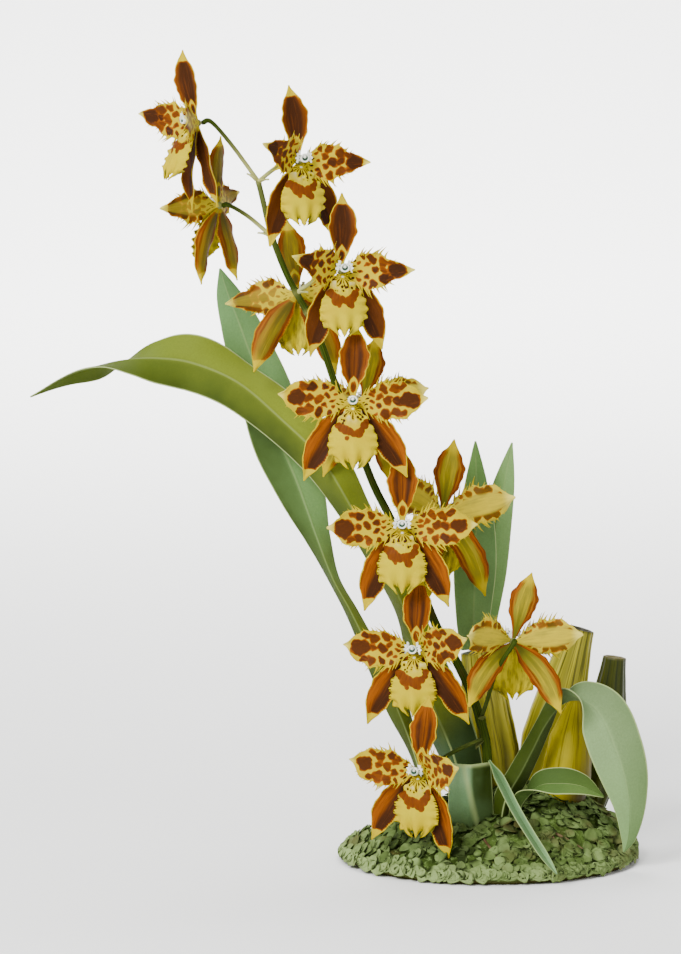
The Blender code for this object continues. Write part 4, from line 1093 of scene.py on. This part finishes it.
def lip_sheet(bloom, rng):
    """Grid of the lip: it comes forward and hangs, with a frilled, finely toothed margin.

    The frill is a sine along the margin that grows with the fourth power of the fraction
    across. A crest and two keels are humps near the foot, and the hem has cosine lobes.
    """
    rows = 84
    sheet = blade(bloom, LIP, LIP_OUTLINE, -90, bloom.lip_lift, (rows, 49), -0.22,
                  start=(0.0, -HUB_RADIUS - GAP, -0.0014), offset=0.0)
    points, along, across = sheet.points, sheet.along, sheet.across
    frill = 0.0010 * across**4 * np.sin(FULL_TURN * 6.5 * along + rng.uniform(0, 6.3))
    bottom = 0.0012 * step(0.6, 0.95, along) * np.sin(3.2 * math.pi * across + 0.8)
    crest = 0.0007 * bell(along - 0.15, 0.06) * bell(across, 0.6)
    keels = 0.0007 * bell(along - 0.24, 0.09) * (bell(across - 0.22, 0.1)
                                                 + bell(across + 0.22, 0.1))
    pleat = 0.00012 * np.cos(9 * across) * step(0.4, 0.7, along)
    height = frill + bottom + crest + keels + pleat
    points = points + sheet_normals(points) * height[..., None]
    down = np.gradient(points, axis=0) * (rows - 1) / (LIP[0] * bloom.size)
    lobes = 0.0017 * np.cos(3 * math.pi * across) + 0.0004 * np.cos(16 * math.pi * across)
    points = points + down * (lobes * step(0.6, 1.0, along))[..., None]
    outward = np.sign(across)[..., None] * unit(points[:, -1:] - points[:, :1])
    saw = np.where(np.arange(rows) % 2 == 0, 1.0, -0.3)[:, None] * (np.abs(across) > 0.97)
    window = (step(0.3, 0.4, along) * step(0.93, 0.82, along) * saw)[..., None]
    sheet.points = points + outward * window * rng.uniform(0.0002, 0.0006, (rows, 1, 1))
    return sheet


def inside_circles(circles, x, y):
    """Distance inside the nearest of some circles, given by their centres and radii."""
    return np.max([radius - np.hypot(x - cx, y - cy) for cx, cy, radius in circles], axis=0)


def lip_marks(sheet, bloom, index, rng):
    """Distance inside the lip's brown marks, and its shade: white crest less dark dashes.

    The mark is a union of circles in a W, with short rays round the crest, a few loose
    dots and, on the lower blooms, dashes along the side margins.
    """
    x, y = sheet.across * sheet.half, sheet.along * sheet.length
    scale = (bloom.size, sheet.length, bloom.size)
    spots = np.array(LIP_SPOTS + (LIP_LOBES if bloom.lobed else ()))
    spots = spots + rng.uniform(-1, 1, spots.shape) * np.array((0.5, 0.02, 0.4))
    loose = rng.uniform((-6.0, 0.17, 0.4), (6.0, 0.31, 0.85), (9, 3))
    blot = inside_circles(spots * scale, x, y)
    ahead = y - 0.06 * sheet.length
    ray, turn = np.hypot(x, ahead), np.arctan2(x, ahead)
    dashes = np.minimum((np.cos(15 * turn) - 0.1) * 0.08 * ray,
                        np.minimum(ray - 1.2, 5.0 + 1.2 * np.cos(7 * turn + index) - ray))
    fine = np.maximum(dashes, inside_circles(loose * scale, x, y))
    if bloom.depth < 0.5:
        edge = np.minimum(1.1 - sheet.inset,
                          0.45 * np.cos(40 * math.pi * sheet.along + index) - 0.12)
        flank = 0.22 * y.max() - np.abs(y - 0.58 * y.max())
        fine = np.maximum(fine, np.minimum(edge, flank))
    shade = 0.9 * bell(ray, 4.5) - 1.6 * step(-0.2, 0.1, fine - np.maximum(blot, -0.4))
    return {"mark": np.maximum(blot, fine), "shade": np.clip(shade, -1, 1)}


def lip(index, bloom):
    """Lip of one bloom, with its marks."""
    rng = np.random.default_rng(900 + index)
    sheet = lip_sheet(bloom, rng)
    skin = Skin()
    skin.sheet(sheet.points, thinned(LIP_THICK, sheet.across),
               **lip_marks(sheet, bloom, index, rng))
    skin.turned(bloom.matrix())
    skin.dress(f"bloom_{index:02d}_lip", "lip", "lip_marked")


def column(index, bloom):
    """Column: a short club with a white rim round a green hollow, a cap and two toothed wings.

    The club's last rings turn back into its mouth. Each wing is a fan about the mouth,
    whose reach is rippled by a cosine.
    """
    start = HUB_RADIUS - GAP
    far = start + 2 * COLUMN[0]
    ahead = np.append(np.linspace(start, far - 0.0004, 18),
                      far + np.array([-0.0001, 0.0, -0.0002, -0.0009, -0.0014]))
    level = ((ahead - start) / (far - start))[:, None]
    club = np.interp(np.linspace(0, 1, 18), (0, 0.15, 0.5, 0.85, 1), (0.5, 0.68, 0.85, 1.1, 1.15))
    reach = COLUMN[1] * np.append(club, [1.08, 0.9, 0.74, 0.62, 0.3])[:, None]
    angle = full_turn(24)
    rings = np.stack(np.broadcast_arrays(
        reach * np.cos(angle), -ahead[:, None],
        0.0016 + 0.0010 * level + 0.92 * reach * np.sin(angle)), -1)
    inside = np.append(np.full(19, -1.0), [-0.5, 0.1, 0.4, 0.5])[:, None]
    hollow = inside * step(0.7, -0.3, np.sin(angle - 0.5))
    skin = Skin()
    skin.tube(rings, mark=np.where(inside > 0, hollow, inside))
    rise = ball_levels(10)
    cap = np.stack([0 * rise, -far + 0.0006 - 0.0008 * np.sin(rise), 0.0031 + 0 * rise], -1)
    skin.tube(tube_rings(cap, 0.0009 * np.cos(rise), 16), mark=-1.0)
    along, across = grid(14, 17)
    fan = across * (0.40 + 0.45 * along) + 0.25
    reach = 0.0012 + bloom.wings * MM * along * (1 + 0.16 * np.cos(11 * across + index))
    marks = 0.5 * np.sin(7 * across + 5 * along + index) - 0.75 + 1.1 * step(0.75, 0.35, along)
    for sign in (-1.0, 1.0):
        wing = np.stack([sign * reach * np.cos(fan), -far + 0.0022 - 0.0008 * along**2,
                         0.0024 + reach * np.sin(fan)], -1)
        skin.sheet(wing, WING_THICK, mark=marks)
    skin.turned(bloom.matrix())
    skin.dress(f"bloom_{index:02d}_column", "column", "column_white")


def pedicel_path(bloom):
    """Route of a bloom's stalk from the middle of the spike to behind its hub."""
    root = Vector(hermite(SPIKE_PATH, bloom.root / (len(SPIKE_PATH) - 1))[0]) * MM
    matrix = bloom.matrix()
    end = matrix @ Vector((0.0, HUB_RADIUS + GAP, 0.0))
    straight = matrix @ Vector((0.0, HUB_RADIUS + bloom.reach * MM, 0.0))
    middle = [Vector(point) * MM for point in bloom.via]
    if not middle:
        middle = [root.lerp(straight, 0.55) + Vector((0.0, 0.0, 0.0015))]
    return [tuple(point) for point in (root, *middle, straight, end)]


def add_bract(skin, path, rng, length, pale):
    """Small pointed scale under a stalk: a folded blade whose half width is a sine."""
    ahead = unit(path[6] - path[0])
    below = unit(np.array((0.0, 0.0, -1.0)) + ahead * ahead[2])
    along, across = grid(14, 9)
    half = 0.0021 * np.sin(math.pi * (0.12 + 0.87 * along))
    drop = 0.0014 + 0.0022 * along**2 * rng.uniform(0.5, 1.3) - 0.0009 * across**2
    points = (path[0] + (0.0012 + along * length)[..., None] * ahead
              + drop[..., None] * below + (across * half)[..., None] * np.cross(ahead, below))
    skin.sheet(points, BRACT_THICK, shade=pale)


def spike(bract_length):
    """Flower spike, the stalk of every bloom with its ribbed ovary, and a bract at each joint."""
    skin = Skin()
    level = np.linspace(0, 1, 110)
    joints = np.array([bloom.root / (len(SPIKE_PATH) - 1) for bloom in BLOOMS])
    swell = bell(level[:, None] - joints, 0.006).max(1)
    lit = 0.20 * swell * step(0.25, 0.4, level) + 0.12 * step(0.8, 1.0, level)
    radii = np.interp(level, (0, 1), SPIKE_RADII) * (1 + 0.16 * swell)
    skin.tube(tube_rings(hermite(SPIKE_PATH, level) * MM, radii, 20), shade=lit)
    level, sides = np.linspace(0, 1, 34), 18
    ovary = step(0.55, 0.85, level) * step(1.02, 0.93, level)
    ribbed = 1 + 0.10 * np.cos(6 * full_turn(sides))[:, None] * ovary[:, None, None]
    for index, bloom in enumerate(BLOOMS, 1):
        rng = np.random.default_rng(70 + index)
        path = hermite(pedicel_path(bloom), level)
        rings = tube_rings(path, PEDICEL_RADIUS * (0.98 + 0.25 * ovary), sides)
        foot, bract = (0.85, 0.85) if bloom.root > 5 else (0.05, 0.15)
        skin.tube(path[:, None] + (rings - path[:, None]) * ribbed,
                  shade=foot * bell(level, 0.3))
        add_bract(skin, path, rng, bract_length, bract)
    skin.dress("flower_spike", "stem_green", "stem_olive")


def leaf(name, colours):
    """One leaf, whose two halves rise from the midrib by the fold angle.

    The middle line and the widths are smooth curves through the stations. The margins
    ripple gently, and the midrib is a shallow groove.
    """
    rng = np.random.default_rng(len(name) * 7)
    stations = [(*row[:5], *row[5]) for row in LEAVES[name]]
    level = np.linspace(0, 1, 10 * len(stations) + 40)
    table = hermite(stations, level)
    level = level[:, None]
    centre = table[:, :3] * MM
    tangent = unit(np.gradient(centre, axis=0))
    side = table[:, 5:8]
    side = unit(side - tangent * np.sum(side * tangent, axis=1, keepdims=True))
    normal = np.cross(tangent, side)
    half, fold = table[:, 3:4] * MM, np.radians(table[:, 4:5])
    if name == "leaf_narrow_front":
        half = half * (0.25 + 0.75 * step(0.0, 0.25, level))
    across = np.linspace(-1, 1, 37)[None]
    lift = (across**2 + 0.003)**0.575 - 0.003**0.575
    ripple = 0.018 * across**4 * np.sin(FULL_TURN * 4.3 * level + rng.uniform(0, 6))
    groove = -0.0003 * bell(across, 0.045) * step(0.0, 0.1, level)
    rise = half * (lift * np.sin(fold) + ripple) + groove
    points = (centre[:, None] + (half * across * np.cos(fold))[..., None] * side[:, None]
              + rise[..., None] * normal[:, None])
    thickness = LEAF_THICK * (1 - 0.6 * across**6) * (0.55 + 0.45 * step(1, 0.9, level))
    # The mark value is painted shade: each half darkened by its row of the table, more towards the
    # margins
    places, *halves = np.transpose(LEAF_PAINTED_SHADE[name])
    left, right = (np.interp(level, places, side_shade) for side_shade in halves)
    tilt = step(-0.14, 0.14, across)
    mark = (left * (1 - tilt) + right * tilt) * (0.72 + 0.28 * np.abs(across))
    rim = 0.75 * step(0.93, 0.99, level) if name == "sheath_front" else 0.0
    skin = Skin()
    skin.sheet(points, thickness, mark=mark, shade=rim)
    skin.piece(name + "_dressed", [leaf_finish(name, colours)],
               SLOTS.get(name, "leaf_blue_green"), name)


def bulb(name, rib_depth):
    """One pseudobulb: rings along its axis that follow the outline, with ribs and wrinkles.

    Past the top the rings turn inwards and down, which leaves a raised rim and a hollow
    face. The smooth and the young one end in a dome instead.
    """
    foot, top, half_width, half_depth, outline, ribs = BULBS[name]
    foot, top = np.array(foot) * MM, np.array(top) * MM
    axis = unit(top - foot)
    side = unit(np.array((1.0, 0, 0)) - axis * axis[0])
    body = np.linspace(0.0, 1.0, 70)
    swell = soft_outline(outline, body)
    widths, heights = np.transpose(BULB_HOLLOW if ribs else BULB_DOME)
    level = np.append(body, np.ones(len(widths)))[:, None]
    width = np.append(swell, swell[-1] * widths)[:, None]
    height = np.append(0 * body, heights)[:, None]
    angle = full_turn(96)
    rib = 1 + rib_depth * np.cos(ribs * angle) * (ribs > 0)
    wrinkle = 1 + 0.006 * np.cos(23 * angle + 3) * np.sin(5 * level + 1)
    reach = width * rib * wrinkle * (1 + 0.006 * np.sin(38 * level)) * MM
    centre = foot + (top - foot) * level + axis * height
    points = (centre[:, None] + (half_width * reach * np.cos(angle))[..., None] * side
              + (half_depth * reach * np.sin(angle))[..., None] * np.cross(axis, side))
    # Painted shade: darker in the grooves between the ribs, on the right side and at the foot,
    # carried by the mark value
    grooves = 0.25 * (1 - np.cos(ribs * angle)) * (ribs > 0)
    face = np.concatenate([np.zeros(69), [0.5], np.ones(len(widths))])
    right = step(-0.1, 0.9, np.cos(angle + 0.35)) * (0.55 + 0.45 * step(0.7, 0.2, level))
    dark = np.maximum(right, 0.9 * step(0.30, 0.05, level)) * BULB_PAINTED_SHADE.get(name, 0.0)
    skin = Skin()
    skin.tube(points, mark=np.clip(grooves + dark, 0, 1), shade=face)
    skin.piece(name + "_dressed", [bulb_finish(name)], SLOTS.get(name, "bulb_striped"), name)


def clump_ground(direction, ratio):
    """Height of the mound without its cushions, for a direction and a fraction to its edge."""
    steep = 2.1 + 0.9 * (direction @ np.array((0.8, 0.6)))
    return CLUMP_EDGE_HEIGHT + (CLUMP_HEIGHT - CLUMP_EDGE_HEIGHT) * (1 - ratio**steep)


def clump_edge(direction):
    """Distance from the summit to the clump's oval edge: the root of a quadratic."""
    a = np.sum((direction / CLUMP_HALF)**2, axis=-1)
    b = 2 * np.sum(direction * CLUMP_SUMMIT / CLUMP_HALF**2, axis=-1)
    c = np.sum((CLUMP_SUMMIT / CLUMP_HALF)**2) - 1
    return (-b + np.sqrt(b * b - 4 * a * c)) / (2 * a)


def moss_mound(count):
    """Mossy mound: rings from under its edge up to its summit, raised by round cushions.

    Every cushion is a half ball about a seeded point, and the surface takes the highest.
    """
    rng = np.random.default_rng(17)
    angle = full_turn(260)
    direction = np.stack([np.cos(angle), np.sin(angle)], -1)
    ratio = np.append([0.3, 0.8, 0.955], np.cos(np.linspace(0, 0.496, 72) * math.pi)**0.8)
    ratio[3] = 1.0
    ratio = ratio[:, None]
    flat = CLUMP_SUMMIT + direction * (clump_edge(direction) * ratio)[..., None]
    height = clump_ground(direction, ratio)
    height[:3] = 0.0
    points = np.concatenate([flat, height[..., None]], -1)
    spread = rng.uniform(-1, 1, (count * 2, 2))
    spread = spread[(spread**2).sum(1) < 1.02][:count] * CLUMP_HALF
    size = rng.uniform(0.0045, 0.0095, len(spread))
    away = np.linalg.norm(flat[3:, :, None] - spread, axis=-1)
    raised = (np.sqrt(np.clip(1 - (away / size)**2, 0, 1)) * size * 0.34).max(-1)
    points[3:, :, 2] += (raised - 0.0013) * step(1.0, 0.93, ratio[3:])
    points[3:, :, 2] = np.maximum(points[3:, :, 2], 0.0008)
    hollow = np.concatenate([np.ones((3, len(angle))), 0.85 - raised / 0.0022])
    skin = Skin()
    skin.tube(points, shade=np.clip(hollow, 0, 1))
    skin.dress("moss_clump", "moss", "moss_cushion")
    return points[3:]


def moss_leaflets(surface, count):
    """Moss leaflets: many small lobed, cupped discs scattered over the mound, in one piece."""
    rng = np.random.default_rng(29)
    rows, sides = surface.shape[:2]
    row = (rows * rng.uniform(0, 1, count)**1.35 * 0.96).astype(int)
    place = surface[row, rng.integers(0, sides, count)]
    outward = unit(np.append(place[:, :2] - CLUMP_SUMMIT, np.full((count, 1), 0.085), 1))
    size = rng.uniform(0.0020, 0.0046, count)[:, None, None]
    heading = unit(np.cross(outward, rng.normal(size=(count, 3))))
    other = np.cross(outward, heading)
    tilt = (rng.uniform(-0.35, 0.5, count) * step(0, 0.35 * rows, row))[:, None, None]
    along, across = grid(5, 5)
    lobes = 1 + 0.22 * np.cos(3 * math.pi * across) * along
    half = size * np.sin(math.pi * (0.12 + 0.80 * along)) * lobes
    x = size * 2 * (along - 0.3)
    rise = 0.35 * half * across**2 + x * tilt + 0.0006
    points = place[:, None, None]
    for reach, way in ((x, heading), (half * across, other), (rise, outward)):
        points = points + reach[..., None] * way[:, None, None]
    out = np.linalg.norm(points[..., :2] / CLUMP_HALF, axis=-1, keepdims=True)
    points[..., :2] /= np.maximum(out / 1.02, 1.0)
    points[..., 2] = np.maximum(points[..., 2], 0.0004)
    rim = step(0.45, 0.0, row / rows)
    # Shade value: a random tone plus painted shade, darker away from the rim towards the middle of
    # the mound under the plant
    tone_and_painted_shade = rng.uniform(0, 0.30, count) + 0.18 * (1 - rim)
    pale = rim * (0.38 + 0.6 * step(0.02, -0.06, place[:, 0])) + rng.uniform(-0.2, 0.2, count)
    skin = Skin()
    for sheet, shade, mark in zip(points, tone_and_painted_shade, np.clip(pale, 0, 0.8)):
        skin.sheet(sheet, LEAFLET_THICK, shade=shade, mark=mark)
    skin.piece("moss_leaflets", [kept_finish("moss_leaflet")], "moss")


def roots(count):
    """Rhizome under the moss, and roots that creep out over the mound and dip back in."""
    level = np.linspace(0, 1, 60)
    skin = Skin()
    ringed = 0.0040 * (1 + 0.08 * np.abs(np.sin(40 * level)))
    skin.tube(tube_rings(hermite(RHIZOME_PATH, level) * MM, ringed, 20))
    skin.dress("rhizome", "root", "root_bark")
    creeping = Skin()
    rng = np.random.default_rng(53)
    for _ in range(count):
        sweep = rng.uniform(0, FULL_TURN) + rng.uniform(-0.7, 0.7) * level
        direction = np.stack([np.cos(sweep), np.sin(sweep)], -1)
        ratio = rng.uniform(0.35, 0.55) + (0.93 - rng.uniform(0.4, 0.5)) * level
        flat = CLUMP_SUMMIT + direction * (clump_edge(direction) * ratio)[:, None]
        arch = 0.0028 * np.sin(math.pi * level) - 0.0016
        height = clump_ground(direction, np.clip(ratio, 0, 1)) + arch
        path = np.append(flat, np.maximum(height, 0.002)[:, None], 1)
        creeping.tube(tube_rings(path, rng.uniform(0.0007, 0.0011) * (1 - 0.5 * level), 8))
    creeping.piece("creeping_roots", [kept_finish("root_bark")], "root")


def build_floor(colour):
    """Floor that turns up into a backdrop: a flat run, a quarter circle and a wall."""
    bend = np.linspace(0, math.pi / 2, 24)[1:]
    y = np.concatenate([[-6.0, -2.0, 0.0, 1.2, 3.2], 3.2 + 1.6 * np.sin(bend), [4.8]])
    z = np.concatenate([np.zeros(5), 1.6 * (1 - np.cos(bend)), [6.0]])
    x = np.array([-6.0, 6.0])
    points = np.stack(np.broadcast_arrays(x, y[:, None], z[:, None]), -1).reshape(-1, 3)
    index = np.arange(len(points)).reshape(-1, 2)
    faces = np.stack([index[:-1, 0], index[:-1, 1], index[1:, 1], index[1:, 0]], -1)
    mesh = bpy.data.meshes.new("floor")
    mesh.from_pydata(points.tolist(), [], faces.tolist())
    mesh.shade_smooth()
    finish = Finish("floor_pale", 0.9, 0.0)
    finish.feed(finish.shader["Base Color"], colour)
    mesh.materials.append(finish.material)
    floor = bpy.data.objects.new("floor", mesh)
    bpy.context.scene.collection.objects.link(floor)


def add_looker(name, data, place, target):
    """A light or camera that looks from its place at a target."""
    looker = bpy.data.objects.new(name, data)
    looker.location = place
    looker.rotation_euler = (Vector(target) - Vector(place)).to_track_quat("-Z", "Y").to_euler()
    bpy.context.scene.collection.objects.link(looker)
    return looker


def colour_prop(name, value, words):
    """A colour setting."""
    return FloatVectorProperty(name=name, description=words, subtype="COLOR", size=3,
                               default=value, min=0.0, max=1.0)


class OrchidColours(bpy.types.PropertyGroup):
    """Colours of the blooms, stems, leaves and moss."""

    yellow: colour_prop("Petal yellow", (0.43, 0.32, 0.0), "Ground of petals and sepal tips")
    yellow_pale: colour_prop("Pale yellow", (0.58, 0.5, 0.09), "Paler patches and backs")
    lemon: colour_prop("Lip yellow", (0.45, 0.36, 0.0), "Ground of the lip")
    brown_orange: colour_prop("Orange brown", (0.245, 0.06, 0.0), "Lightest of the brown marks")
    brown_mid: colour_prop("Red brown", (0.105, 0.026, 0.002), "Middle of the brown marks")
    brown_dark: colour_prop("Chestnut", (0.034, 0.01, 0.002), "Darkest of the brown marks")
    back_olive: colour_prop("Back olive", (0.2, 0.165, 0.01), "Backs of sepals and petals")
    green: colour_prop("Back green", (0.09, 0.085, 0.006), "Foot of the sepals' backs")
    white: colour_prop("Crest white", (0.8, 0.8, 0.7), "Column and crest of the lip")
    column_painted_shade: colour_prop("Column grey", (0.36, 0.44, 0.33), "Shadows of the column")
    column_green: colour_prop("Column green", (0.035, 0.075, 0.045), "Marks of the column")
    stem_dark: colour_prop("Stem dark", (0.015, 0.026, 0.002), "Spike and stalks")
    stem_light: colour_prop("Stem light", (0.048, 0.072, 0.006), "Lines of the spike")
    stem_pale: colour_prop("Stem pale", (0.42, 0.42, 0.14), "Joints and bracts")
    stem_brown: colour_prop("Stem brown", (0.05, 0.028, 0.005), "Brown tinge of the stems")
    leaf_pale: colour_prop("Leaf pale", (0.34, 0.42, 0.16), "Midribs, margins and veins")
    # Colour of the painted shade on the leaves' darker halves
    leaf_painted_shade: colour_prop("Leaf shade", (0.016, 0.028, 0.003), "Dark halves of the leaves")
    leaf_under: colour_prop("Leaf underside", (0.1, 0.15, 0.03), "Tint of the leaf backs")
    moss_dark: colour_prop("Moss dark", (0.012, 0.02, 0.003), "Deep moss")
    moss_mid: colour_prop("Moss green", (0.07, 0.115, 0.022), "Moss cushions")
    moss_light: colour_prop("Moss light", (0.19, 0.275, 0.085), "Tips of the moss")
    moss_pale: colour_prop("Moss pale", (0.23, 0.31, 0.11), "Fading rim of the moss")
    moss_brown: colour_prop("Moss brown", (0.085, 0.075, 0.022), "Hollows between cushions")
    root_dark: colour_prop("Root dark", (0.06, 0.035, 0.015), "Rings of the roots")
    root_light: colour_prop("Root light", (0.17, 0.12, 0.06), "Skin of the roots")
    floor: colour_prop("Floor", (0.9, 0.9, 0.89), "Plain floor and backdrop")


class OrchidSizes(bpy.types.PropertyGroup):
    """Sizes and counts that a user may change."""

    bract_length: FloatProperty(name="Bract length", description="Length of a bract",
                                default=0.0062, min=0.001, max=0.02, unit="LENGTH")
    rib_depth: FloatProperty(name="Rib depth", description="Depth of a pseudobulb's ribs",
                             default=0.045, min=0.0, max=0.2, subtype="FACTOR")
    cushions: IntProperty(name="Moss cushions", description="Cushions on the mound",
                          default=420, min=0, max=2000)
    leaflets: IntProperty(name="Moss leaflets", description="Leaflets over the mound",
                          default=1700, min=0, max=6000)
    roots: IntProperty(name="Creeping roots", description="Roots over the mound", default=9,
                       min=0, max=60)
    view_distance: FloatProperty(name="View distance", description="Camera to the plant",
                                 default=2.5, min=0.5, max=10.0, unit="LENGTH")
    view_height: FloatProperty(name="View elevation", description="Angle of the camera above level",
                               default=math.radians(8.0), min=-1.5, max=1.5, unit="ROTATION")


class ORCHID_OT_stage(bpy.types.Operator):
    """Floor, backdrop, soft lights, sky and camera"""

    bl_idname = "orchid.stage"
    bl_label = "Stage"

    def execute(self, context):
        scene = context.scene
        sizes = scene.orchid_sizes
        build_floor(scene.orchid_colours.floor)
        scene.world = bpy.data.worlds.new("studio_sky")
        scene.world.use_nodes = True
        sky = scene.world.node_tree.nodes["Background"].inputs
        sky["Color"].default_value = (1, 1, 1, 1)
        sky["Strength"].default_value = SKY_STRENGTH
        for name, (place, target, size, power, spread) in LIGHTS.items():
            light = bpy.data.lights.new(name, "AREA")
            light.size, light.energy, light.spread = size, power, math.radians(spread)
            add_looker(name, light, place, target)
        view = bpy.data.cameras.new("view")
        view.sensor_width = SENSOR_WIDTH
        view.lens = SENSOR_WIDTH * sizes.view_distance / VIEW_WIDTH
        view.clip_end = VIEW_END
        way = Vector((0.0, -math.cos(sizes.view_height), math.sin(sizes.view_height)))
        eye = Vector(VIEW_TARGET) + sizes.view_distance * way
        scene.camera = add_looker("view", view, eye, VIEW_TARGET)
        return {"FINISHED"}


class ORCHID_OT_clump(bpy.types.Operator):
    """Mossy mound, its leaflets, the rhizome and the creeping roots"""

    bl_idname = "orchid.clump"
    bl_label = "Mossy clump"

    def execute(self, context):
        sizes = context.scene.orchid_sizes
        surface = moss_mound(sizes.cushions)
        moss_leaflets(surface, sizes.leaflets)
        roots(sizes.roots)
        return {"FINISHED"}


class ORCHID_OT_bulbs(bpy.types.Operator):
    """Pseudobulbs and the young growth"""

    bl_idname = "orchid.bulbs"
    bl_label = "Pseudobulbs"

    def execute(self, context):
        for name in BULBS:
            bulb(name, context.scene.orchid_sizes.rib_depth)
        return {"FINISHED"}


class ORCHID_OT_leaves(bpy.types.Operator):
    """Every leaf and the front sheath"""

    bl_idname = "orchid.leaves"
    bl_label = "Leaves"

    def execute(self, context):
        for name in LEAVES:
            leaf(name, context.scene.orchid_colours)
        return {"FINISHED"}


class ORCHID_OT_spike(bpy.types.Operator):
    """Flower spike with its stalks and bracts"""

    bl_idname = "orchid.spike"
    bl_label = "Flower spike"

    def execute(self, context):
        spike(context.scene.orchid_sizes.bract_length)
        return {"FINISHED"}


class ORCHID_OT_blooms(bpy.types.Operator):
    """Sepals, petals, lip and column of every bloom"""

    bl_idname = "orchid.blooms"
    bl_label = "Blooms"

    def execute(self, context):
        for index, bloom in enumerate(BLOOMS, 1):
            perianth(index, bloom)
            lip(index, bloom)
            column(index, bloom)
        return {"FINISHED"}


class ORCHID_PT_panel(bpy.types.Panel):
    """Panel of the orchid's settings and makers"""

    bl_idname = "ORCHID_PT_panel"
    bl_label = "Orchid"
    bl_space_type = "VIEW_3D"
    bl_region_type = "UI"
    bl_category = "Orchid"

    def draw(self, context):
        layout = self.layout
        for settings in (context.scene.orchid_sizes, context.scene.orchid_colours):
            box = layout.box()
            for name in settings.__annotations__:
                box.prop(settings, name)
        for maker in MAKERS:
            layout.operator(maker.bl_idname)


MAKERS = (ORCHID_OT_stage, ORCHID_OT_clump, ORCHID_OT_bulbs, ORCHID_OT_leaves, ORCHID_OT_spike,
          ORCHID_OT_blooms)
CLASSES = (OrchidColours, OrchidSizes, *MAKERS, ORCHID_PT_panel)


def register():
    """Register the classes and hang the settings on the scene."""
    for item in CLASSES:
        bpy.utils.register_class(item)
    bpy.types.Scene.orchid_colours = PointerProperty(type=OrchidColours)
    bpy.types.Scene.orchid_sizes = PointerProperty(type=OrchidSizes)


def unregister():
    """Take the settings and the classes away."""
    del bpy.types.Scene.orchid_sizes
    del bpy.types.Scene.orchid_colours
    for item in reversed(CLASSES):
        bpy.utils.unregister_class(item)


def main():
    register()
    bpy.ops.orchid.stage()
    bpy.ops.orchid.clump()
    bpy.ops.orchid.bulbs()
    bpy.ops.orchid.leaves()
    bpy.ops.orchid.spike()
    bpy.ops.orchid.blooms()
    bpy.context.view_layer.update()
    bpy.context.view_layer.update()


if __name__ == "__main__":
    main()
